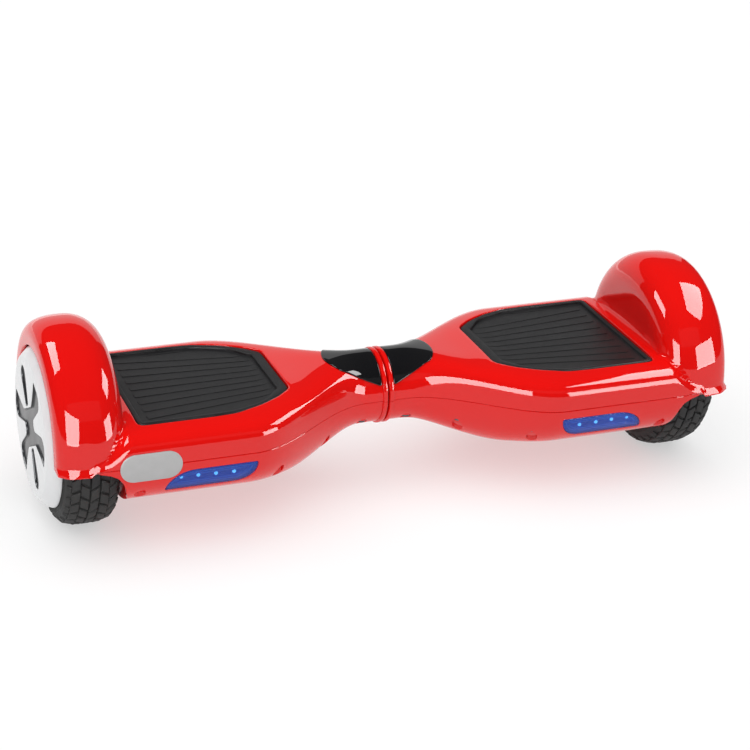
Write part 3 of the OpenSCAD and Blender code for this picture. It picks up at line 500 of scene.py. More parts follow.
def belly_angle(x, y):
    lo, hi = np.full(len(x), -np.pi), np.zeros(len(x))
    for _ in range(50):
        m = (lo + hi) / 2
        low = bottom_body(x, m) * np.cos(m) < y
        lo, hi = np.where(low, m, lo), np.where(low, hi, m)
    return (lo + hi) / 2


def join_caps(build, skins):
    """Flat faces along the seam, through every row's first and last points."""
    build.cap(np.concatenate([s.ids[:, 0] for s in skins]))
    build.cap(np.concatenate([s.ids[:, -1] for s in skins]))
    for s, t in zip(skins, skins[1:] + skins[:1]):
        build.quads(s.ids[-1], t.ids[0], closed=False)
    for s in skins:
        s.close()


def eased_columns(angles, r):
    """Adds a column close to each end for the rounded seam edge."""
    step = math.asin(EDGE / r)
    return np.concatenate([angles[:1], [angles[0] + step], angles[1:-1], [angles[-1] - step], angles[-1:]])


def upper_shell(side, material):
    b = Build()
    angles = eased_columns(even_angles(lambda a: top_body(180.0, a), 120, 0, np.pi), 93)
    rows, _ = upper_outer_rows(96)
    outer = Skin(b, rows, angles, SPLIT_Z)
    inner = Skin(b, upper_inner_rows(), angles, SPLIT_Z)
    first = 7
    last = first + 95
    round_r = 1.0
    edge = pad_loop(PAD_GAP)
    wide = grown(edge, round_r)

    def on_deck(loop, d=0.0):
        a = deck_angle(loop[:, 0], loop[:, 1], d)
        return a, np.column_stack([loop, SPLIT_Z + top_body(loop[:, 0], a, d) * np.sin(a)])

    a, start = on_deck(wide)
    _, rim = on_deck(edge)
    ids = outer.cut(outer.index(wide[:, 0], a, first, last), start)
    rings = []
    for deg in (22.5, 45, 67.5, 90):
        t = math.radians(deg)
        low = rim - (0, 0, round_r)
        centre = start + (low - rim)
        rings.append(centre + (start - centre) * math.cos(t) + (low - centre) * math.sin(t))
    rings.append(np.column_stack([edge, np.full(len(edge), RECESS_Z)]))
    floor = b.rings(ids, rings)
    b.cap(floor)
    under = grown(edge, WALL)
    a, loop = on_deck(under, -WALL)
    inner_first = 14 + 2 + 2 + 1
    hole = inner.cut(inner.index(under[:, 0], a, inner_first, len(inner.rows) - 1), loop)
    base = b.rings(hole, [np.column_stack([under, np.full(len(under), RECESS_Z - 2)])])
    b.cap(base)
    join_caps(b, [outer, inner])
    for pts in b.points:
        low = SKIRT * smooth((pts[:, 0] - CHEEK_TOP - 0.4) / 1.2) * (1 - smooth((pts[:, 2] - SPLIT_Z) / 30))
        pts[:, 2] -= np.where(np.abs(pts[:, 1]) > 40, low, 0)
    return b.finish(side_name(side, "upper_shell"), material, side)


CHEEK_TOP, SKIRT = 263.0, 4.5     # end of the lower shell at the seam, and how far the arch hangs below it
CHEEK = np.array([(80.6, CHEEK_TOP), (78.4, 262.7), (77.4, 258), (76, 252), (73, 246.5), (68, 242.8), (62, 240.6),
                  (56, 239.2), (52, 238), (48, 237), (30, 237)])[::-1]


def cheek_end(a):
    """Where the lower shell ends along X, in direction a: it sweeps out beside the wheel near the seam."""
    z = SPLIT_Z - SEAM + bottom_body(240.0, a) * np.sin(a)
    return np.interp(z, CHEEK[:, 0], CHEEK[:, 1])


def lower_rows(body_rows):
    outer = rim_rows(False)
    for t in np.linspace(0, 1, body_rows) ** 1.0:
        outer.append(lambda a, t=t: (lambda x: eased(a, (x, bottom_body(x, a))))(
            mix(CENTRE_X + RIM_W + 0.25, cheek_end(a) - 0.5, t)))
    outer.append(lambda a: eased(a, (cheek_end(a) - 0.15, bottom_body(cheek_end(a), a) - 0.15)))
    outer.append(lambda a: eased(a, (cheek_end(a), bottom_body(cheek_end(a), a) - 0.5)))
    inner = [lambda a: (cheek_end(a), bottom_body(cheek_end(a), a, -WALL))]
    for t in (0.33, 0.66, 1.0):
        inner.append(lambda a, t=t: (lambda x: (x, bottom_body(x, a, -WALL)))(mix(cheek_end(a), WELL_X, t)))
    for t in (0.5, 1.0):
        inner.append(lambda a, t=t: (WELL_X, mix(bottom_body(WELL_X, a, -WALL), about_axle(AXLE_HOLE_R, a, False), t)))
    back = FLANK_X - 0.4
    inner.append(lambda a: (back, about_axle(AXLE_HOLE_R, a, False)))
    inner.append(lambda a: (back, mix(about_axle(AXLE_HOLE_R, a, False), bottom_body(back, a, -WALL), 0.5)))
    for x in np.linspace(back, CENTRE_X, 60):
        inner.append(lambda a, x=x: (x, bottom_body(x, a, -WALL)))
    return outer, inner


def screw_spots():
    spots = []
    for x in (60.0, 112.0, 228.0):
        y = float(half_w(x)) - BOSS_R - WALL - 2
        spots += [(x, y), (x, -y)]
    return spots + [(20.0, 20.0), (20.0, -20.0)]


def rear_loops(kind):
    """Outlines in the rear face, as x and z."""
    if kind == "button":
        return circle(BUTTON_X, REAR_Z, 7.8, 64)
    x, z, w, h = INLET_X, REAR_Z, 13.0, 12.4
    return rounded([(x - w, z - h), (x + w, z - h), (x + w, z + h), (x - w, z + h)], 2.5, 96)


def lower_shell(side, material):
    b = Build()
    angles = eased_columns(even_angles(lambda a: bottom_body(180.0, a), 130, -np.pi, 0), 93)
    outer_rows, inner_rows = lower_rows(130)
    base = SPLIT_Z - SEAM
    outer, inner = Skin(b, outer_rows, angles, base), Skin(b, inner_rows, angles, base)
    first, last = 7, 7 + 129
    inner_first = 1 + 3 + 2 + 2

    def front(loop, d=0.0, sign=-1):
        y = sign * face_y(loop[:, 0], loop[:, 1], d)
        a = np.arctan2(loop[:, 1] - base, y)
        return np.where(a > 0, a - 2 * np.pi, a), np.column_stack([loop[:, 0], y, loop[:, 1]])

    def opening(loop, sign, round_r, depth_rings, back_grow):
        wide = grown(loop, round_r)
        a, start = front(wide, 0, sign)
        _, rim = front(loop, 0, sign)
        ids = outer.cut(outer.index(wide[:, 0], a, first, last), start)
        low = rim - (0, sign * round_r, 0)
        centre = start + (low - rim)
        rings = [centre + (start - centre) * math.cos(t) + (low - centre) * math.sin(t)
                 for t in np.radians((30, 60, 90))]
        rings += depth_rings(low)
        under = grown(loop, back_grow)
        a, back = front(under, -WALL, sign)
        hole = inner.cut(inner.index(under[:, 0], a, inner_first, len(inner.rows) - 1), back)
        b.rings(ids, rings, hole)

    opening(lamp_loop(), -1, 0.8, lambda low: [], 0.0)
    if side > 0:
        spot = rear_loops("inlet")
        seat_y = float(face_y(INLET_X, REAR_Z - 12.4)) - 1.5

        def inlet(low):
            bore = circle(INLET_X, REAR_Z, 9.02, len(spot))
            turn = np.argmin(((bore[:, None] - spot[0]) ** 2).sum(2)[:, 0])
            bore = np.roll(bore, -int(turn), 0)

            def at(loop, y):
                return np.column_stack([loop[:, 0], np.full(len(loop), y), loop[:, 1]])
            return [at(spot, seat_y), at(bore, seat_y), at(bore, seat_y - WALL), at(grown(spot, 0.4), seat_y - WALL)]
        opening(spot, 1, 0.5, inlet, 0.4)

        def button(low):
            y = float(face_y(INLET_X, REAR_Z)) - 8
            ring = rear_loops("button")
            return [np.column_stack([r[:, 0], np.full(len(r), y), r[:, 1]]) for r in (ring, grown(ring, WALL))]
        opening(rear_loops("button"), 1, 0.8, button, WALL)
    for x, y in screw_spots():
        ring = circle(x, y, BOSS_R, 40)
        wide = grown(ring, 0.5)
        a = belly_angle(wide[:, 0], wide[:, 1])
        start = np.column_stack([wide, base + bottom_body(wide[:, 0], a) * np.sin(a)])
        ids = outer.cut(outer.index(wide[:, 0], a, first, last), start)
        rise = np.minimum(start[:, 2] + 0.6, SEAT_Z)
        b.cap(b.rings(ids, [np.column_stack([ring, rise]), np.column_stack([ring, np.full(len(ring), SEAT_Z)])]))
    join_caps(b, [outer, inner])
    return b.finish(side_name(side, "lower_shell"), material, side)


def side_name(side, what):
    return f"{what}_{'right' if side > 0 else 'left'}"


def slab(name, material, side, loop, place, thick, edge, step, angle=38, dome=0.0):
    """Plate with a rounded front edge; place turns flat points and a depth into real points."""
    b = Build()
    back = b.add(place(loop, -thick))
    rings = [place(loop, -edge)]
    for t in np.radians((22.5, 45, 67.5, 90)):
        rings.append(place(grown(loop, -edge * (1 - math.cos(t))), -edge * (1 - math.sin(t))))
    front = b.rings(back, rings)
    top = grown(loop, -edge)

    def face(g):
        return place(g, 0.0)
    b.fill(top, front, face, step)
    b.fill(loop, back, lambda g: place(g, -thick), step)
    return b.finish(name, material, side, angle)


# --- Node trees ---
class Tree:
    """Short hand for building a node tree."""

    def __init__(self, tree):
        self.tree = tree

    def node(self, kind, **values):
        n = self.tree.nodes.new(kind)
        for key, value in values.items():
            setattr(n, key, value)
        return n

    def put(self, node, **inputs):
        for key, value in inputs.items():
            by_number = key[0] == "i" and key[1:].isdigit()
            socket = node.inputs[int(key[1:]) if by_number else key.replace("_", " ")]
            if isinstance(value, bpy.types.NodeSocket):
                self.tree.links.new(value, socket)
            else:
                socket.default_value = value
        return node


def socket(tree, name, kind, default=None, out=False):
    s = tree.interface.new_socket(name, in_out="OUTPUT" if out else "INPUT", socket_type="NodeSocket" + kind)
    if default is not None:
        s.default_value = default
    return s


def geometry_tree(name, inputs):
    tree = bpy.data.node_groups.new(name, "GeometryNodeTree")
    socket(tree, "Geometry", "Geometry")
    for label, kind, default in inputs:
        socket(tree, label, kind, default)
    socket(tree, "Geometry", "Geometry", out=True)
    t = Tree(tree)
    return t, t.node("NodeGroupInput"), t.node("NodeGroupOutput")


def end_tree(t, start, end, geometry):
    real = t.put(t.node("GeometryNodeRealizeInstances"), Geometry=geometry)
    shade = t.put(t.node("GeometryNodeSetShadeSmooth"), Geometry=real.outputs[0])
    paint = t.put(t.node("GeometryNodeSetMaterial"), Geometry=shade.outputs[0], Material=start.outputs["Material"])
    t.put(end, Geometry=paint.outputs[0])


def ring_tree():
    """Repeats the incoming shape round an axle that runs along X."""
    t, start, end = geometry_tree("repeat_round_axle", [
        ("Count", "Int", 32), ("Centre", "Vector", (0, 0, 0)), ("Phase", "Float", 0.0), ("Material", "Material", None)])
    points = t.put(t.node("GeometryNodePoints"), Count=start.outputs["Count"], Position=start.outputs["Centre"])
    index = t.node("GeometryNodeInputIndex")
    step = t.put(t.node("ShaderNodeMath", operation="DIVIDE"), i0=math.tau, i1=start.outputs["Count"])
    where = t.put(t.node("ShaderNodeMath", operation="ADD"), i0=index.outputs[0], i1=start.outputs["Phase"])
    turn = t.put(t.node("ShaderNodeMath", operation="MULTIPLY"), i0=where.outputs[0], i1=step.outputs[0])
    euler = t.put(t.node("ShaderNodeCombineXYZ"), X=turn.outputs[0])
    inst = t.put(t.node("GeometryNodeInstanceOnPoints"), Points=points.outputs[0], Instance=start.outputs["Geometry"],
                 Rotation=euler.outputs[0])
    end_tree(t, start, end, inst.outputs[0])
    return t.tree


def spots_tree():
    """Sets a shape on every incoming point."""
    t, start, end = geometry_tree("set_on_points", [("Shape", "Object", None), ("Material", "Material", None)])
    info = t.put(t.node("GeometryNodeObjectInfo"), Object=start.outputs["Shape"])
    inst = t.put(t.node("GeometryNodeInstanceOnPoints"), Points=start.outputs["Geometry"],
                 Instance=info.outputs["Geometry"])
    end_tree(t, start, end, inst.outputs[0])
    return t.tree


def sweep_tree():
    """Sweeps a flat section along every incoming line, scaled by the line's own size attribute."""
    t, start, end = geometry_tree("sweep_section", [("Section", "Object", None), ("Material", "Material", None)])
    size = t.put(t.node("GeometryNodeInputNamedAttribute", data_type="FLOAT"), Name="size")
    line = t.put(t.node("GeometryNodeMeshToCurve"), Mesh=start.outputs["Geometry"])
    info = t.put(t.node("GeometryNodeObjectInfo"), Object=start.outputs["Section"])
    section = t.put(t.node("GeometryNodeMeshToCurve"), Mesh=info.outputs["Geometry"])
    wide = t.put(t.node("GeometryNodeSetCurveRadius"), Curve=line.outputs[0], Radius=size.outputs[0])
    flat = t.put(t.node("GeometryNodeSetCurveNormal"), Curve=wide.outputs[0])
    flat.mode = "Z_UP"
    body = t.node("GeometryNodeCurveToMesh")
    t.put(body, Curve=flat.outputs[0])
    t.put(body, **{"Profile_Curve": section.outputs[0], "Fill_Caps": True})
    if "Scale" in body.inputs:
        t.tree.links.new(size.outputs[0], body.inputs["Scale"])
    end_tree(t, start, end, body.outputs[0])
    return t.tree


def run_tree(ob, tree, angle=38, **values):
    """Runs a geometry tree on an object and keeps its result as a plain mesh."""
    mod = ob.modifiers.new(tree.name, "NODES")
    mod.node_group = tree
    named = {i.name: i.identifier for i in tree.interface.items_tree if i.item_type == "SOCKET" and i.in_out == "INPUT"}
    for key, value in values.items():
        mod[named[key]] = value
    dg = bpy.context.evaluated_depsgraph_get()
    dg.update()
    me = bpy.data.meshes.new_from_object(ob.evaluated_get(dg))
    ob.modifiers.remove(mod)
    old = ob.data
    ob.data = me
    me.name = ob.name
    bpy.data.meshes.remove(old)
    me.shade_smooth()
    me.set_sharp_from_angle(angle=math.radians(angle))
    return ob


def plain(name, pts, edges=(), faces=()):
    me = bpy.data.meshes.new(name)
    me.from_pydata([tuple(np.array(p) * MM) for p in pts], list(edges), list(faces))
    ob = bpy.data.objects.new(name, me)
    bpy.context.scene.collection.objects.link(ob)
    return ob


def joined(name, parts):
    """Joins objects into one mesh."""
    bm = bmesh.new()
    slots = []
    for o in parts:
        start = len(bm.faces)
        bm.from_mesh(o.data)
        bm.faces.ensure_lookup_table()
        for f in bm.faces[start:]:
            m = o.data.materials[f.material_index]
            if m not in slots:
                slots.append(m)
            f.material_index = slots.index(m)
    me = bpy.data.meshes.new(name)
    bm.to_mesh(me)
    bm.free()
    for m in slots:
        me.materials.append(m)
    for o in parts:
        bpy.data.objects.remove(o)
    me.shade_smooth()
    me.set_sharp_from_angle(angle=math.radians(38))
    ob = bpy.data.objects.new(name, me)
    bpy.context.scene.collection.objects.link(ob)
    return ob


# --- Foot pads ---
FIELD_Z = MAT_TOP - 2.2     # floor between the ribs
FAN = 0.68                  # how much closer the ribs stand at their inner ends
RIB_END = 214.0


def field_loop(count=200):
    """Edge of the ribbed field: a narrow border, wider at the pad's inner end."""
    loop = pad_loop(0.0, count)
    wide = 4.2 + 4.5 * smooth((PAD_X0 + 26 - loop[:, 0]) / 22)
    along = np.roll(loop, -1, 0) - np.roll(loop, 1, 0)
    along /= np.linalg.norm(along, axis=1)[:, None]
    return loop - wide[:, None] * np.stack([along[:, 1], -along[:, 0]], 1)


def at_height(loop, z):
    return np.column_stack([loop, np.full(len(loop), z)])


def pad_base(side, material):
    b = Build()
    low = b.add(at_height(pad_loop(-0.3), MAT_Z))
    rings = [(0.0, MAT_Z + 0.3), (0.0, MAT_TOP - 1.3), (-0.15, MAT_TOP - 0.7), (-0.6, MAT_TOP - 0.2), (-1.4, MAT_TOP)]
    last = b.rings(low, [at_height(pad_loop(g), z) for g, z in rings])
    field = field_loop()
    last = b.rings(last, [at_height(grown(field, g), z) for g, z in
                          ((0.9, MAT_TOP), (0.5, MAT_TOP - 0.1), (0.15, MAT_TOP - 0.5), (0, FIELD_Z))])
    b.cap(last)
    b.cap(low)
    return b.finish("pad_base", material, side)


def rib_lines(sizes):
    """Centre line of each rib as points with a size: they fan out from the inner end, and are short at the corners."""
    count = sizes.rib_count
    pitch = (2 * PAD_HALF - 16) / count
    limit = grown(field_loop(), -2.2)
    lines = []
    rows = [((k - (count - 1) / 2) * pitch, RIB_END, 1.0) for k in range(count)]
    rows += [(s * (PAD_HALF - 7.6), 182.0, 0.62) for s in (-1, 1)]
    for outer_y, end, wide in rows:
        x = np.arange(PAD_X0, end + 0.01, 1.0)
        t = (x - 97) / (RIB_END - 97)
        fan = mix(FAN, 1, t) if wide == 1.0 else np.ones(len(x))
        y = outer_y * fan
        ok = inside(limit, np.stack([x, y], 1))
        x, y, fan = x[ok], y[ok], fan[ok]
        run = x - x[0]
        left = x[-1] - x
        nose = np.sqrt(np.clip(run / 9, 0.02, 1)) * np.clip(0.84 + left / 6, 0, 1)
        lines.append((x, y, wide * fan * nose))
    return lines


def foot_ribs(side, material, sizes):
    w = sizes.rib_width / MM / 2
    top = RIB_TOP - FIELD_Z
    half = [(w, -0.4), (w, top * 0.4), (w * 0.95, top * 0.64), (w * 0.82, top * 0.84), (w * 0.6, top * 0.95),
            (w * 0.25, top)]
    section_pts = [(x, y, 0) for x, y in half] + [(-x, y, 0) for x, y in reversed(half)]
    n = len(section_pts)
    section = plain("rib_section", section_pts, edges=[(i, (i + 1) % n) for i in range(n)])
    pts, edges, size = [], [], []
    for x, y, s in rib_lines(sizes):
        base = len(pts)
        keep = list(range(0, min(10, len(x)))) + list(range(12, len(x) - 3, 4)) + [len(x) - 3, len(x) - 2, len(x) - 1]
        keep = sorted({k for k in keep if 0 <= k < len(x)})
        pts += [(side * x[k], y[k], FIELD_Z) for k in keep]
        size += [s[k] for k in keep]
        edges += [(base + i, base + i + 1) for i in range(len(keep) - 1)]
    ribs = plain("pad_ribs", pts, edges=edges)
    ribs.data.attributes.new("size", "FLOAT", "POINT").data.foreach_set("value", np.array(size, np.float32))
    run_tree(ribs, bpy.data.node_groups.get("sweep_section") or sweep_tree(), Section=section, Material=material)
    bpy.data.objects.remove(section)
    return ribs


# --- Wheels ---
TYRE_MID = (WHEEL_X0 + WHEEL_X1) / 2


def wheel_ring(r, x, count):
    t = np.linspace(0, 2 * np.pi, count, endpoint=False)
    return np.column_stack([np.full(count, x), r * np.sin(t), AXLE_Z + r * np.cos(t)])


def tyre_body(side, material, depth):
    """Carcass with concentric ridges on its side walls, under the tread blocks."""
    half = [(62.0, 20.5), (64.0, 21.9), (66.0, 22.2)]
    for r in (67.2, 69.0, 70.8):
        half += [(r - 0.5, 22.2), (r - 0.3, 22.5), (r + 0.3, 22.5), (r + 0.5, 22.15)]
    half += [(72.6, 21.9), (75.0, 20.8), (77.0 - depth * 0.3, 19.2), (79.0 - depth * 0.6, 16.6),
             (81.0 - depth, 13.0), (82.2 - depth, 8.5), (TYRE_R - depth, 4.5), (TYRE_R - depth, 4.4),
             (TYRE_R - depth - 0.5, 4.0), (TYRE_R - depth - 0.5, 3.7), (TYRE_R - depth, 3.3), (TYRE_R - depth, 0.0)]
    profile = [(r, TYRE_MID - x) for r, x in half] + [(r, TYRE_MID + x) for r, x in reversed(half[:-1])]
    b = Build()
    ids = [b.add(wheel_ring(r, x, 180)) for r, x in profile]
    for a, c in zip(ids, ids[1:] + ids[:1]):
        b.quads(a, c)
    return b.finish("tyre_body", material, side)


# tread rows: distance from the middle, crown radius, tilt, half width, half length, slant
TREAD_ROWS = ((0.0, 82.45, 0, 3.1, 5.6, 2.2), (7.9, 82.2, 3, 3.2, 5.4, -2.2), (15.0, 80.6, 17, 3.2, 5.2, 2.2),
              (20.2, 77.0, 47, 2.2, 3.6, 0.0))


def tread(side, material, sizes):
    tree = bpy.data.node_groups.get("repeat_round_axle") or ring_tree()
    depth = sizes.block_depth / MM
    rows = []
    for k, (off, r, tilt, w, h, slant) in enumerate(TREAD_ROWS):
        for s in ((1,) if off == 0 else (1, -1)):
            b = Build()
            c, sn = math.cos(math.radians(tilt)), math.sin(math.radians(tilt))
            rings = []
            for g, dz in ((0.35, -depth - 0.5), (0.1, -0.5), (-0.15, -0.15), (-0.6, 0.0)):
                pts = []
                for u, v in ((-1, -1), (1, -1), (1, 1), (-1, 1)):
                    x, y = u * (w + g), v * (h + g) + u * slant * s
                    pts.append((s * (off + x * c + dz * sn), y, r - x * sn + dz * c))
                rings.append(b.add(pts))
            for a, d in zip(rings, rings[1:]):
                b.quads(a, d)
            b.cap(rings[0])
            b.cap(rings[-1])
            row = b.finish("tread_row", material, 1, merge=0.001)
            row.data.transform(Matrix.Translation((side * TYRE_MID * MM, 0, 0)))
            run_tree(row, tree, Count=sizes.block_count, Centre=(0.0, 0.0, AXLE_Z * MM),
                     Phase=0.5 * (k % 2) + (0.25 if s < 0 else 0.0), Material=material)
            rows.append(row)
    return rows


FORK = [(17, 0), (19, 5), (44.5, 10.2), (49.5, 13), (51.5, 18.5), (49.5, 24.5), (40, 34.5), (30.5, 25.5), (16, 15.5),
        (0, 15.5)]
FORK_TILT = math.radians(27)
TRAY = 1.5                  # depth of the fork's floor below the cap's face


def fork_loops(grow=0.0):
    """The two-ended fork and its two loose blades, as depth and height about the axle."""
    right = FORK[1:]
    waist = FORK[0][0]
    upper = right + [(-x, y) for x, y in reversed(right[:-1])] + [(-waist, 0)]
    full = [(waist, 0)] + upper + [(-x, -y) for x, y in right] + [(x, -y) for x, y in reversed(right[:-1])]
    t = np.radians(np.linspace(-8, 188, 24))
    tip = [(9.0 * math.cos(a), 41.5 + 9.0 * math.sin(a)) for a in t]
    blade = tip + [(-5.6, 19), (-5.0, 17.3), (5.0, 17.3), (5.6, 19)]
    out = []
    for pts, window in ((full, 2.0), (blade, 1.2), ([(-x, -y) for x, y in blade], 1.2)):
        q = rounded(pts, window, 240 if pts is full else 90)
        c, s = math.cos(FORK_TILT), math.sin(FORK_TILT)
        q = np.stack([q[:, 0] * c + q[:, 1] * s, q[:, 1] * c - q[:, 0] * s], 1)
        area = (q[:, 0] * np.roll(q[:, 1], -1) - np.roll(q[:, 0], -1) * q[:, 1]).sum()
        out.append(grown(q if area > 0 else q[::-1], grow))
    return out


def on_cap(loop, x):
    return np.column_stack([np.full(len(loop), x), loop[:, 0], AXLE_Z + loop[:, 1]])


def hub_cap(side, material):
    """Domed cap with a flat middle, and recesses for the fork and its blades."""
    b = Build()
    count = 180
    flat_r = CAP_FLAT_R - 1.4
    rings = [(56, WHEEL_X1 - 1.3), (CAP_R - 0.6, CAP_BACK), (CAP_R - 0.1, CAP_BACK + 0.2), (CAP_R, CAP_BACK + 0.5)]
    for s in np.linspace(0.06, 0.97, 14):
        rings.append((mix(CAP_R, CAP_FLAT_R, s ** 1.5), mix(CAP_BACK + 0.5, CAP_FACE, s)))
    rings += [(CAP_FLAT_R - 0.4, CAP_FACE - 0.09), (CAP_FLAT_R - 0.9, CAP_FACE - 0.02), (flat_r, CAP_FACE)]
    ids = [b.add(on_cap(circle(0, 0, r, count), x)) for r, x in rings]
    for a, c in zip(ids, ids[1:]):
        b.quads(a, c)
    b.cap(ids[0])
    holes = []
    for loop in fork_loops(0.4):
        start = b.add(on_cap(loop, CAP_FACE))
        steps = ((0.1, 0.03), (0.3, 0.16), (0.38, 0.4), (0.4, TRAY + 0.6))
        last = b.rings(start, [on_cap(inset(loop, d), CAP_FACE - down) for d, down in steps])
        b.cap(last)
        holes.append((loop, start))
    b.fill(circle(0, 0, flat_r, count), ids[-1], lambda g: on_cap(g, CAP_FACE), 6.0, holes)
    return b.finish(side_name(side, "hub_cap"), material, side)


def hub_fork(side, material):
    """Shallow dark trays that line the recesses in the cap, with a raised lip and a sunk floor."""
    parts = []
    for loop in fork_loops(-0.1):
        b = Build()
        back = b.add(on_cap(loop, CAP_FACE - TRAY - 0.4))
        steps = ((0, 0.3), (0.12, 0.1), (0.4, 0.06), (0.65, 0.16), (0.75, 0.4), (0.9, TRAY - 0.35), (1.1, TRAY - 0.1),
                 (1.5, TRAY), (2.6, TRAY - 0.05))
        front = b.rings(back, [on_cap(inset(loop, d), CAP_FACE - down) for d, down in steps])
        b.cap(back)
        b.cap(front)
        parts.append(b.finish("fork_part", material, side))
    return joined(side_name(side, "hub_fork"), parts)


# --- Lamps, panels, label and rear fittings ---
def on_front(loop, d):
    y = face_y(loop[:, 0], loop[:, 1])
    return np.column_stack([loop[:, 0], -(y + d), loop[:, 1]])


LIGHTS = ((151.5, 63.6), (166.5, 64.2), (181.0, 64.8), (195.0, 65.2))


def lamp_parts(side, lens, bowl, line, light):
    front = slab(side_name(side, "lamp_lens"), lens, side, lamp_loop(-0.15), on_front, 1.6, 0.5, 3.0)
    rim = lamp_loop(-0.6)
    # The bowl takes a glowing material: painted light standing in for the lights' glow inside it, since the bowl is no
    # lamp.
    b = Build()
    edge = b.add(on_front(rim, -2.2))
    rings = []
    for k in range(4):
        rings += [on_front(inset(rim, 0.6 + 1.7 * k), -2.4 - 0.7 * k),
                  on_front(inset(rim, 1.7 + 1.7 * k), -2.55 - 0.7 * k)]
    last = b.rings(edge, rings)
    back = b.rings(edge, [on_front(rim, -6.6)])
    b.cap(last)
    b.cap(back)
    dish = b.finish(side_name(side, "lamp_bowl"), bowl, side)
    # Two thin rings on the bowl's steps, drawn with a glowing material: painted highlights where the lights' glow
    # catches the steps.
    b = Build()
    for d, depth in ((2.9, -2.7), (5.0, -3.3)):
        outer, inner = inset(rim, d), inset(rim, d + 0.45)
        ids = [b.add(on_front(loop, depth + up)) for loop, up in ((outer, -0.3), (outer, 0), (inner, 0), (inner, -0.3))]
        for a, c in zip(ids, ids[1:] + ids[:1]):
            b.quads(a, c)
    lines = b.finish(side_name(side, "lamp_lines"), line, side)
    spots = [(side * x, -float(face_y(x, z)) + 4.6, z) for x, z in LIGHTS]
    dome = Build()
    profile = [(1.6, 1.6), (1.6, 0.2), (1.45, -0.6), (1.0, -1.1), (0.4, -1.3)]
    ids = [dome.add([(r * math.cos(t), h, r * math.sin(t)) for t in np.linspace(0, 2 * np.pi, 20, endpoint=False)])
           for r, h in profile]
    for a, c in zip(ids, ids[1:]):
        dome.quads(a, c)
    dome.cap(ids[0])
    dome.cap(ids[-1])
    shape = dome.finish("lamp_dome", light)
    leds = plain(side_name(side, "lamp_lights"), spots)
    run_tree(leds, bpy.data.node_groups.get("set_on_points") or spots_tree(), Shape=shape, Material=light)
    bpy.data.objects.remove(shape)
    return front, dish, lines, leds


PANEL_X0, PANEL_X1 = 5.35, 48.0


def centre_panel(side, material):
    def span(x):
        t = (x - PANEL_X0) / (PANEL_X1 - PANEL_X0)
        return np.where(t < 0.7, mix(66, 40, t / 0.7), 40 * np.sqrt(np.clip(1 - ((t - 0.7) / 0.3) ** 2, 0, 1)))
    t = np.concatenate([np.linspace(0, 0.7, 12), 0.7 + 0.3 * np.sin(np.radians(np.linspace(10, 90, 12)))])
    x = PANEL_X0 + t * (PANEL_X1 - PANEL_X0)
    w = np.radians(span(x)) * NECK_R
    pts = [(a, -c) for a, c in zip(x, w)] + [(a, c) for a, c in zip(x[::-1][1:], w[::-1][1:])]

    def place(g, d):
        a = np.pi / 2 + g[:, 1] / NECK_R
        r = top_body(g[:, 0], a) + 1.35 + d
        return np.column_stack([g[:, 0], r * np.cos(a), SPLIT_Z + r * np.sin(a)])
    return slab(side_name(side, "centre_panel"), material, side, rounded(pts, 2.2, 200), place, 1.3, 0.7, 2.5)


def blank_label(material):
    turn = np.radians(np.linspace(-90, 90, 30))
    x, z, half_l, r = LABEL
    right = [(x + half_l - r + r * math.cos(t), z + r * math.sin(t)) for t in turn]
    left = [(x - half_l + r - r * math.cos(t), z - r * math.sin(t)) for t in turn]
    loop = rounded(right + left, 0.6, 160)
    return slab("grey_label", material, -1, loop, lambda g, d: on_front(g, d + 0.5), 0.4, 0.15, 3.0)


def shell_screws(side, material):
    """Socket-headed screws in their pockets under the lower shell."""
    b = Build()
    n = 24
    t = np.linspace(0, 2 * np.pi, n, endpoint=False)
    hexa = 1.55 / np.cos((t + np.pi / 6) % (np.pi / 3) - np.pi / 6)
    rings = [np.full(n, 1.9), np.full(n, 1.9), np.full(n, 3.6), np.full(n, 3.6), np.full(n, 3.2), hexa + 0.15,
             hexa, hexa * 0.96]
    heights = [9.0, 0.0, 0.0, -1.6, -2.3, -2.4, -2.2, -0.9]
    ids = [b.add(np.column_stack([r * np.cos(t), r * np.sin(t), np.full(n, h)])) for r, h in zip(rings, heights)]
    for a, c in zip(ids, ids[1:]):
        b.quads(a, c)
    b.cap(ids[0])
    b.cap(ids[-1])
    shape = b.finish("screw_shape", material)
    spots = plain(side_name(side, "shell_screws"), [(side * x, y, SEAT_Z) for x, y in screw_spots()])
    run_tree(spots, bpy.data.node_groups.get("set_on_points") or spots_tree(), Shape=shape, Material=material)
    bpy.data.objects.remove(shape)
    return spots


def turned_rear(name, material, x, profile, count=64):
    """Solid turned about an axis along Y, from radius and depth pairs."""
    b = Build()
    rings = []
    for r, y in profile:
        c = circle(x, REAR_Z, r, count)
        rings.append(b.add(np.column_stack([c[:, 0], np.full(count, y), c[:, 1]])))
    for a, c in zip(rings, rings[1:]):
        b.quads(a, c)
    b.cap(rings[0])
    b.cap(rings[-1])
    return b.finish(name, material)


def power_button(material):
    y = float(face_y(INLET_X, REAR_Z))
    return turned_rear("power_button_face", material, BUTTON_X, [
        (7.4, y - 3), (7.5, y + 0.6), (7.35, y + 1.1), (6.9, y + 1.45), (6.2, y + 1.6), (5.0, y + 1.55), (4.7, y + 1.3),
        (4.4, y + 1.1), (4.0, y + 1.1), (3.7, y + 1.25), (3.2, y + 1.4), (1.5, y + 1.45)])


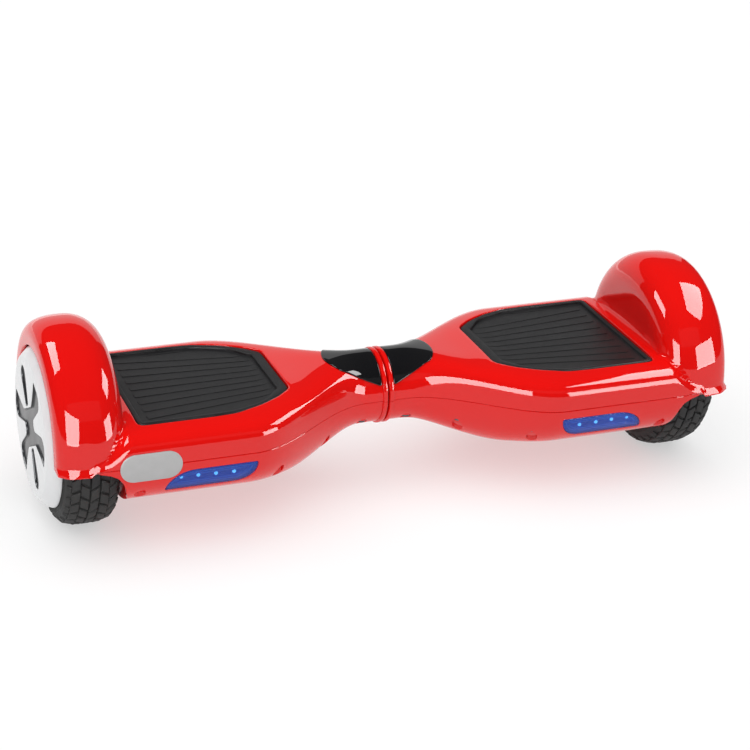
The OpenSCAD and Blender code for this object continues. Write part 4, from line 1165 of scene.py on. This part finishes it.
def charge_cap(material):
    seat = float(face_y(INLET_X, REAR_Z - 12.4)) - 1.5 + 0.6
    turn = np.radians(np.linspace(113, 427, 60))
    pts = [(INLET_X + 9.9 * math.cos(t), REAR_Z + 9.9 * math.sin(t)) for t in turn]
    pts += [(INLET_X + 3.9, REAR_Z + 11.6), (INLET_X - 3.9, REAR_Z + 11.6)]
    loop = rounded(pts, 0.7, 160)

    def place(g, d):
        return np.column_stack([g[:, 0], np.full(len(g), seat + 2 + d), g[:, 1]])
    cover = slab("cap_cover", material, 1, loop, place, 2.0, 0.5, 3.0)
    grip = slab("cap_grip", material, 1, circle(INLET_X, REAR_Z - 7.4, 1.6, 32),
                lambda g, d: np.column_stack([g[:, 0], np.full(len(g), seat + 2.5 + d), g[:, 1]]), 0.9, 0.4, 1.0)
    return joined("charge_cap", [cover, grip])


# --- Materials ---
def variation_group():
    """Slow change of colour and roughness over a surface."""
    tree = bpy.data.node_groups.new("surface_variation", "ShaderNodeTree")
    for label, kind, default in (("Vector", "Vector", None), ("Colour", "Color", (1, 1, 1, 1)),
                                 ("Second Colour", "Color", (1, 1, 1, 1)), ("Scale", "Float", 20.0),
                                 ("Rough Low", "Float", 0.2), ("Rough High", "Float", 0.3)):
        socket(tree, label, kind, default)
    socket(tree, "Colour", "Color", out=True)
    socket(tree, "Roughness", "Float", out=True)
    t = Tree(tree)
    start, end = t.node("NodeGroupInput"), t.node("NodeGroupOutput")
    noise = t.put(t.node("ShaderNodeTexNoise"), Vector=start.outputs["Vector"], Scale=start.outputs["Scale"],
                  Detail=5.0)
    sharp = t.put(t.node("ShaderNodeMapRange"), Value=noise.outputs[0])
    t.put(sharp, **{"From_Min": 0.35, "From_Max": 0.65})
    blend = t.node("ShaderNodeMix", data_type="RGBA")
    t.put(blend, i0=sharp.outputs[0], i6=start.outputs["Colour"], i7=start.outputs["Second Colour"])
    rough = t.put(t.node("ShaderNodeMapRange"), Value=sharp.outputs[0])
    t.put(rough, **{"To_Min": start.outputs["Rough Low"], "To_Max": start.outputs["Rough High"]})
    t.put(end, Colour=blend.outputs[2], Roughness=rough.outputs[0])
    return tree


def height_group(kind):
    """Fine relief: moulded grain, brushed lines, woven turns, laminations or printed tracks."""
    tree = bpy.data.node_groups.new(kind, "ShaderNodeTree")
    socket(tree, "Vector", "Vector")
    socket(tree, "Scale", "Float", 500.0)
    socket(tree, "Height", "Float", out=True)
    t = Tree(tree)
    start, end = t.node("NodeGroupInput"), t.node("NodeGroupOutput")
    vector, scale = start.outputs["Vector"], start.outputs["Scale"]
    if kind == "moulded_grain":
        cell = t.put(t.node("ShaderNodeTexVoronoi"), Vector=vector, Scale=scale)
        noise = t.put(t.node("ShaderNodeTexNoise"), Vector=vector, Scale=scale, Detail=3.0)
        out = t.put(t.node("ShaderNodeMath", operation="ADD"), i0=cell.outputs[0], i1=noise.outputs[0])
    elif kind == "brushed_lines":
        squeeze = t.put(t.node("ShaderNodeVectorMath", operation="MULTIPLY"), i0=vector, i1=(0.02, 1.0, 1.0))
        out = t.put(t.node("ShaderNodeTexNoise"), Vector=squeeze.outputs[0], Scale=scale, Detail=4.0)
    elif kind == "stacked_sheets":
        out = t.put(t.node("ShaderNodeTexWave", wave_type="BANDS", bands_direction="X"), Vector=vector, Scale=scale)
    elif kind == "wound_turns":
        out = t.put(t.node("ShaderNodeTexWave", wave_type="RINGS", rings_direction="X"), Vector=vector, Scale=scale,
                    Distortion=0.4)
    elif kind == "orange_peel":
        out = t.put(t.node("ShaderNodeTexNoise"), Vector=vector, Scale=scale, Detail=1.0)
    else:
        out = t.put(t.node("ShaderNodeTexBrick"), Vector=vector, Scale=scale)
    t.put(end, Height=out.outputs["Fac"] if kind == "printed_tracks" else out.outputs[0])
    return tree


# slot: colour, second colour, colour scale, roughness low and high, metal, coat, relief, relief scale, relief depth,
# and how much the surface below the coat reflects
FINISHES = {
    "red_shell": ((0.80, 0.006, 0.004), (0.76, 0.005, 0.004),
        6, 0.30, 0.34, 0, 1.0, "orange_peel", 260, 0.00002, 0.0),
    "black_gloss": ((0.006, 0.006, 0.007), (0.009, 0.009, 0.010),
        15, 0.22, 0.28, 0, 1.0, "orange_peel", 260, 0.00002, 0.0),
    "pad_rubber": ((0.012, 0.012, 0.013), (0.018, 0.018, 0.019),
        60, 0.38, 0.50, 0, 0.0, "moulded_grain", 1400, 0.0001, 0.22),
    "black_matte": ((0.014, 0.014, 0.015), (0.020, 0.020, 0.021),
        50, 0.45, 0.6, 0, 0.0, "moulded_grain", 1500, 0.0001, 0.3),
    "silicone": ((0.75, 0.76, 0.78), (0.68, 0.69, 0.71),
        80, 0.35, 0.45, 0, 0.0, "orange_peel", 500, 0.00005, 0.5),
    "circuit_board": ((0.012, 0.10, 0.035), (0.02, 0.16, 0.055),
        90, 0.3, 0.45, 0, 0.3, "printed_tracks", 240, 0.0001, 0.5),
    "lamp_board": ((0.75, 0.78, 0.82), (0.6, 0.64, 0.7),
        120, 0.3, 0.4, 0, 0.2, "printed_tracks", 300, 0.0001, 0.5),
    "cast_aluminium": ((0.55, 0.56, 0.58), (0.42, 0.43, 0.45),
        40, 0.38, 0.55, 1, 0.0, "moulded_grain", 900, 0.0002, 0.5),
    "stator_steel": ((0.34, 0.35, 0.37), (0.24, 0.25, 0.27),
        60, 0.35, 0.5, 1, 0.0, "stacked_sheets", 700, 0.0002, 0.5),
    "copper_wire": ((0.72, 0.27, 0.10), (0.5, 0.16, 0.06),
        100, 0.25, 0.4, 1, 0.3, "wound_turns", 500, 0.0004, 0.5),
    "axle_steel": ((0.5, 0.51, 0.53), (0.4, 0.41, 0.43),
        50, 0.22, 0.35, 1, 0.0, "brushed_lines", 900, 0.0001, 0.5),
    "screw_steel": ((0.16, 0.16, 0.17), (0.09, 0.09, 0.1),
        120, 0.3, 0.45, 1, 0.0, "moulded_grain", 1500, 0.0001, 0.5),
    "cable_jacket": ((0.02, 0.02, 0.022), (0.03, 0.03, 0.033),
        70, 0.4, 0.5, 0, 0.0, "moulded_grain", 900, 0.0001, 0.3),
    "tyre_rubber": ((0.018, 0.018, 0.019), (0.034, 0.033, 0.032),
        45, 0.55, 0.75, 0, 0.0, "moulded_grain", 1100, 0.0002, 0.25),
    "white_gloss": ((0.82, 0.83, 0.84), (0.78, 0.79, 0.80),
        18, 0.22, 0.28, 0, 0.8, "orange_peel", 300, 0.00002, 0.0),
    "gunmetal": ((0.030, 0.032, 0.035), (0.022, 0.023, 0.026),
        30, 0.34, 0.44, 0.7, 0.3, "brushed_lines", 1200, 0.00008, 0.5),
    "magnet_plating": ((0.6, 0.6, 0.62), (0.5, 0.5, 0.52),
        60, 0.18, 0.3, 1, 0.0, "orange_peel", 600, 0.0001, 0.5),
    "bearing_steel": ((0.55, 0.56, 0.58), (0.45, 0.46, 0.48),
        60, 0.15, 0.25, 1, 0.0, "brushed_lines", 1200, 0.00005, 0.5),
    "bush_brass": ((0.62, 0.43, 0.16), (0.5, 0.33, 0.12),
        60, 0.28, 0.4, 1, 0.0, "brushed_lines", 1000, 0.0001, 0.5),
    "battery_wrap": ((0.02, 0.06, 0.32), (0.015, 0.045, 0.25),
        25, 0.25, 0.35, 0, 0.4, "orange_peel", 90, 0.0006, 0.2),
    "cap_rubber": ((0.013, 0.013, 0.014), (0.02, 0.02, 0.021),
        80, 0.5, 0.62, 0, 0.0, "moulded_grain", 1500, 0.0001, 0.3),
    "label_film": ((0.44, 0.44, 0.44), (0.40, 0.40, 0.40),
        70, 0.34, 0.42, 0.25, 0.3, "brushed_lines", 1500, 0.00005, 0.5),
    "lamp_lens": ((0.02, 0.07, 0.42), (0.015, 0.05, 0.34),
        30, 0.05, 0.09, 0, 1.0, "orange_peel", 300, 0.00002, 0.0),
    "lamp_bowl": ((0.012, 0.05, 0.30), (0.02, 0.09, 0.45),
        35, 0.2, 0.3, 0.3, 0.6, "stacked_sheets", 120, 0.0003, 0.5),
}
TINTS = {"red_shell": "shell_colour", "black_gloss": "trim_colour", "pad_rubber": "pad_colour",
         "tyre_rubber": "tyre_colour", "white_gloss": "cap_colour", "gunmetal": "fork_colour"}
made = {}


def finish_of(slot_name):
    """Material for one of the record's slots, built once."""
    if slot_name in made:
        return made[slot_name]
    colour, second, spread, low, high, metal, coat, relief, relief_scale, depth, mirror = FINISHES[slot_name]
    colours = bpy.context.scene.board_colours
    if slot_name in TINTS:
        picked = tuple(getattr(colours, TINTS[slot_name]))
        second = tuple(s * p / max(c, 1e-4) for s, p, c in zip(second, picked, colour))
        colour = picked
    m = bpy.data.materials.new(slot_name)
    m.use_nodes = True
    t = Tree(m.node_tree)
    shader = m.node_tree.nodes["Principled BSDF"]
    place = t.node("ShaderNodeTexCoord").outputs["Object"]
    for name in ("surface_variation", relief):
        if name not in bpy.data.node_groups:
            variation_group() if name == "surface_variation" else height_group(name)
    vary = t.node("ShaderNodeGroup")
    vary.node_tree = bpy.data.node_groups["surface_variation"]
    t.put(vary, **{"Vector": place, "Colour": (*colour, 1), "Second_Colour": (*second, 1), "Scale": float(spread),
                   "Rough_Low": low, "Rough_High": high})
    grain = t.node("ShaderNodeGroup")
    grain.node_tree = bpy.data.node_groups[relief]
    t.put(grain, Vector=place, Scale=float(relief_scale))
    bump = t.put(t.node("ShaderNodeBump"), Strength=0.6, Distance=depth, Height=grain.outputs["Height"])
    t.put(shader, **{"Base_Color": vary.outputs["Colour"], "Roughness": vary.outputs["Roughness"], "Metallic": metal,
                     "Coat_Weight": coat, "Coat_Roughness": 0.015, "Specular_IOR_Level": mirror,
                     "Normal": bump.outputs[0]})
    if slot_name == "lamp_lens":
        shader.inputs["Alpha"].default_value = 0.45
    made[slot_name] = m
    return m


def glow(name, colour, strength):
    m = bpy.data.materials.new(name)
    m.use_nodes = True
    t = Tree(m.node_tree)
    shader = m.node_tree.nodes["Principled BSDF"]
    noise = t.put(t.node("ShaderNodeTexNoise"), Vector=t.node("ShaderNodeTexCoord").outputs["Object"], Scale=400.0)
    ramp = t.node("ShaderNodeMix", data_type="RGBA")
    t.put(ramp, i0=noise.outputs[0], i6=(*colour, 1), i7=tuple(min(1, c * 1.3) for c in colour) + (1,))
    t.put(shader, **{"Base_Color": ramp.outputs[2], "Emission_Color": ramp.outputs[2], "Emission_Strength": strength,
                     "Roughness": 0.2})
    return m


def place_piece(ob, body, slot_name, *nodes):
    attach(ob, body)
    if nodes:
        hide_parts(*nodes)
    return ob


def words(side):
    return "right" if side > 0 else "left"


# --- Settings ---
class BoardColours(bpy.types.PropertyGroup):
    """Colours that a user would change."""
    shell_colour: FloatVectorProperty(name="Shells", description="Colour of the painted shells", subtype="COLOR",
                                      default=(0.80, 0.006, 0.004), min=0, max=1)
    trim_colour: FloatVectorProperty(name="Centre panels", description="Colour of the glossy centre panels",
                                     subtype="COLOR", default=(0.006, 0.006, 0.007), min=0, max=1)
    pad_colour: FloatVectorProperty(name="Foot pads", description="Colour of the rubber pads", subtype="COLOR",
                                    default=(0.012, 0.012, 0.013), min=0, max=1)
    tyre_colour: FloatVectorProperty(name="Tyres", description="Colour of the tyres", subtype="COLOR",
                                     default=(0.018, 0.018, 0.019), min=0, max=1)
    cap_colour: FloatVectorProperty(name="Hub caps", description="Colour of the hub caps", subtype="COLOR",
                                    default=(0.82, 0.83, 0.84), min=0, max=1)
    fork_colour: FloatVectorProperty(name="Forks", description="Colour of the forks in the hub caps", subtype="COLOR",
                                     default=(0.030, 0.032, 0.035), min=0, max=1)
    lamp_colour: FloatVectorProperty(name="Lamps", description="Colour of the lamps' light", subtype="COLOR",
                                     default=(0.10, 0.45, 1.0), min=0, max=1)


class BoardSizes(bpy.types.PropertyGroup):
    """Sizes of the details that are added to the frame."""
    rib_count: IntProperty(name="Ribs", description="Full ribs on each foot pad", default=9, min=5, max=13)
    rib_width: FloatProperty(name="Rib width", description="Width of a rib at its outer end", default=0.0070,
                             min=0.004, max=0.012, unit="LENGTH")
    block_count: IntProperty(name="Tread blocks", description="Tread blocks in one row round a tyre", default=36,
                             min=20, max=60)
    block_depth: FloatProperty(name="Tread depth", description="Depth of the tread", default=0.0018, min=0.001,
                               max=0.003, unit="LENGTH")
    lamp_strength: FloatProperty(name="Lamp strength", description="Strength of the lamps' light", default=3.0,
                                 min=0.0, max=30.0)


# --- Operators ---
class BOARD_OT_shells(bpy.types.Operator):
    """Build the upper and lower shells of both halves"""
    bl_idname = "board.shells"
    bl_label = "Shells"

    def execute(self, context):
        paint = finish_of("red_shell")
        for side in (-1, 1):
            w = words(side)
            place_piece(upper_shell(side, paint), f"{w}_half", "red_shell", f"{w}_top_shell")
            place_piece(lower_shell(side, paint), f"{w}_half", "red_shell", f"{w}_bottom_shell")
        return {"FINISHED"}


class BOARD_OT_finishes(bpy.types.Operator):
    """Give every CAD node left showing its material"""
    bl_idname = "board.finishes"
    bl_label = "Finishes"

    def execute(self, context):
        slot_of = {}
        for m in frame["record"]["materials"]:
            for n in m.get("nodes", m.get("applies_to", [])):
                slot_of[n] = m["slot"]
        for name, ob in frame["nodes"].items():
            slot_name = slot_of.get(name) or ob.data.materials[0].name.split(".")[0]
            for s in ob.material_slots:
                s.material = finish_of(slot_name)
        return {"FINISHED"}


class BOARD_OT_pads(bpy.types.Operator):
    """Build the rubber foot pads with their fanned ribs"""
    bl_idname = "board.pads"
    bl_label = "Foot pads"

    def execute(self, context):
        rubber = finish_of("pad_rubber")
        for side in (-1, 1):
            w = words(side)
            ribs = foot_ribs(side, rubber, bpy.context.scene.board_sizes)
            pad = joined(side_name(side, "foot_pad"), [pad_base(side, rubber), ribs])
            place_piece(pad, f"{w}_pad", "pad_rubber", f"{w}_pad_mat")
        return {"FINISHED"}


class BOARD_OT_wheels(bpy.types.Operator):
    """Build the treaded tyres, the hub caps and their forks"""
    bl_idname = "board.wheels"
    bl_label = "Wheels"

    def execute(self, context):
        sizes = bpy.context.scene.board_sizes
        rubber, white, dark = finish_of("tyre_rubber"), finish_of("white_gloss"), finish_of("gunmetal")
        for side in (-1, 1):
            w = words(side)
            parts = [tyre_body(side, rubber, sizes.block_depth / MM)] + tread(side, rubber, sizes)
            place_piece(joined(side_name(side, "tyre_tread"), parts), f"{w}_wheel", "tyre_rubber", f"{w}_tyre")
            place_piece(hub_cap(side, white), f"{w}_wheel", "white_gloss", f"{w}_hub_cap")
            place_piece(hub_fork(side, dark), f"{w}_wheel", "gunmetal", f"{w}_hub_inlay")
        return {"FINISHED"}


class BOARD_OT_lamps(bpy.types.Operator):
    """Build the lamps: clear blue lens, stepped bowl and four lights each"""
    bl_idname = "board.lamps"
    bl_label = "Lamps"

    def execute(self, context):
        colour = tuple(bpy.context.scene.board_colours.lamp_colour)
        strength = bpy.context.scene.board_sizes.lamp_strength
        light = glow("lamp_light", colour, strength)
        # Painted light: the bowl is no lamp, but it glows at a small part of the lamps' strength to stand in for the
        # lights' glow inside it.
        bowl = glow("lamp_bowl", (0.012, 0.07, 0.42), strength * 0.09)
        # Painted highlight: the rings on the bowl's steps are no lamps, but glow brighter than the bowl to stand in for
        # the lights catching on them.
        line = glow("lamp_line", (0.04, 0.22, 0.80), strength * 0.16)
        for side in (-1, 1):
            w = words(side)
            front, dish, lines, leds = lamp_parts(side, finish_of("lamp_lens"), bowl, line, light)
            place_piece(front, f"{w}_half", "lamp_lens", f"{w}_led_lens")
            place_piece(dish, f"{w}_half", "lamp_lens")
            place_piece(lines, f"{w}_half", "lamp_lens")
            place_piece(leds, f"{w}_half", "lamp_board")
        return {"FINISHED"}


class BOARD_OT_trims(bpy.types.Operator):
    """Build the centre panels, the blank label, the shell screws and the rear fittings"""
    bl_idname = "board.trims"
    bl_label = "Trims"

    def execute(self, context):
        for side in (-1, 1):
            w = words(side)
            place_piece(centre_panel(side, finish_of("black_gloss")), f"{w}_half", "black_gloss", f"{w}_centre_panel")
            place_piece(shell_screws(side, finish_of("screw_steel")), f"{w}_half", "screw_steel", f"{w}_shell_screws")
        place_piece(blank_label(finish_of("label_film")), "left_half", "label_film", "blank_label")
        place_piece(power_button(finish_of("black_matte")), "power_button", "black_matte", "power_button")
        place_piece(charge_cap(finish_of("cap_rubber")), "charge_port_cap", "cap_rubber", "charge_port_cap")
        return {"FINISHED"}


FLOOR_HALF = 9000
VIEW_ANGLES = (21.1, 24.2, 2.0)             # camera's azimuth, elevation and roll in degrees
CAMERA_PLACE, CAMERA_LENS = (-0.597, -1.5442, 0.835), 102.86
# name, place, width and height, brightness; the cards only show in reflections
CARDS = (
    ("backdrop", (0, 2.6, 0.75), (4.6, 1.5), 0.6),
    ("front_screen", (0, -3.2, 2.3), (4.4, 1.4), 0.15),
    ("upper_left", (-0.52, 0.13, 0.62), (0.40, 0.24), 11),
    ("upper_right", (0.52, -0.13, 0.60), (0.40, 0.24), 11),
    ("lower_left", (-0.5, -0.62, 0.26), (0.42, 0.40), 11),
    ("lower_right", (0.75, -0.85, 0.28), (0.55, 0.44), 11),
)


class BOARD_OT_stage(bpy.types.Operator):
    """Set the floor, the lights and the camera"""
    bl_idname = "board.stage"
    bl_label = "Stage"

    def execute(self, context):
        scene = bpy.context.scene
        az, el, roll = map(math.radians, VIEW_ANGLES)
        ahead = Vector((math.sin(az) * math.cos(el), math.cos(az) * math.cos(el), -math.sin(el)))
        right = Vector((math.cos(az), -math.sin(az), 0))
        up = right.cross(ahead)
        r2 = math.cos(roll) * right + math.sin(roll) * up
        u2 = -math.sin(roll) * right + math.cos(roll) * up
        cam = bpy.data.objects.new("camera", bpy.data.cameras.new("camera"))
        cam.matrix_world = Matrix.Translation(CAMERA_PLACE) @ Matrix((r2, u2, -ahead)).transposed().to_4x4()
        cam.data.sensor_width = 36.0
        cam.data.lens = CAMERA_LENS
        cam.data.clip_start = 0.05
        scene.collection.objects.link(cam)
        scene.camera = cam
        e = FLOOR_HALF
        floor = plain("floor", [(-e, -e, 0), (e, -e, 0), (e, e, 0), (-e, e, 0)], faces=[(0, 1, 2, 3)])
        m = bpy.data.materials.new("pale_floor")
        m.use_nodes = True
        Tree(m.node_tree).put(m.node_tree.nodes["Principled BSDF"], **{
            "Base_Color": (0.45, 0.45, 0.45, 1), "Roughness": 0.7, "Specular_IOR_Level": 0.0,
            "Emission_Color": (1, 1, 1, 1), "Emission_Strength": 0.52})
        floor.data.materials.append(m)
        world = bpy.data.worlds.new("studio")
        world.use_nodes = True
        t = Tree(world.node_tree)
        path = t.node("ShaderNodeLightPath")
        lit = t.put(t.node("ShaderNodeMapRange"), Value=path.outputs["Is Camera Ray"])
        t.put(lit, **{"To_Min": 0.22, "To_Max": 1.0})
        dim = t.put(t.node("ShaderNodeMath", operation="MULTIPLY_ADD"), i0=path.outputs["Is Glossy Ray"], i1=-0.17,
                    i2=lit.outputs[0])
        t.put(world.node_tree.nodes["Background"], Color=(1, 1, 1, 1), Strength=dim.outputs[0])
        scene.world = world
        scene.view_settings.view_transform = "Standard"
        sky = bpy.data.lights.new("soft_sky", "SUN")
        sky.energy = 2.9
        sky.angle = math.radians(100)
        above = bpy.data.objects.new("soft_sky", sky)
        above.rotation_euler = (math.radians(12), math.radians(-10), 0)
        above.visible_glossy = False
        scene.collection.objects.link(above)
        for name, where, size, bright in CARDS:
            light = bpy.data.lights.new(name, "AREA")
            light.shape = "RECTANGLE"
            light.size, light.size_y = size
            light.energy = bright * math.pi * size[0] * size[1]
            ob = bpy.data.objects.new(name, light)
            ob.location = where
            ob.rotation_euler = (Vector((0, 0, 0.1)) - Vector(where)).to_track_quat("-Z", "Y").to_euler()
            ob.visible_camera = False
            ob.visible_diffuse = False
            scene.collection.objects.link(ob)
        return {"FINISHED"}


class BOARD_PT_panel(bpy.types.Panel):
    """Lists the board's settings and the steps that build it"""
    bl_label = "Self-balancing board"
    bl_idname = "BOARD_PT_panel"
    bl_space_type = "VIEW_3D"
    bl_region_type = "UI"
    bl_category = "Board"

    def draw(self, context):
        for group in (context.scene.board_colours, context.scene.board_sizes):
            for key in group.bl_rna.properties.keys():
                if key not in ("rna_type", "name"):
                    self.layout.prop(group, key)
        for step in STEPS:
            self.layout.operator(step.bl_idname)


STEPS = (BOARD_OT_stage, BOARD_OT_finishes, BOARD_OT_shells, BOARD_OT_pads, BOARD_OT_wheels, BOARD_OT_lamps,
         BOARD_OT_trims)
CLASSES = (BoardColours, BoardSizes, *STEPS, BOARD_PT_panel)


def register():
    for c in CLASSES:
        bpy.utils.register_class(c)
    bpy.types.Scene.board_colours = PointerProperty(type=BoardColours)
    bpy.types.Scene.board_sizes = PointerProperty(type=BoardSizes)


def unregister():
    del bpy.types.Scene.board_sizes
    del bpy.types.Scene.board_colours
    for c in reversed(CLASSES):
        bpy.utils.unregister_class(c)


def main():
    register()
    for step in STEPS:
        group, name = step.bl_idname.split(".")
        getattr(getattr(bpy.ops, group), name)()


if __name__ == "__main__":
    main()
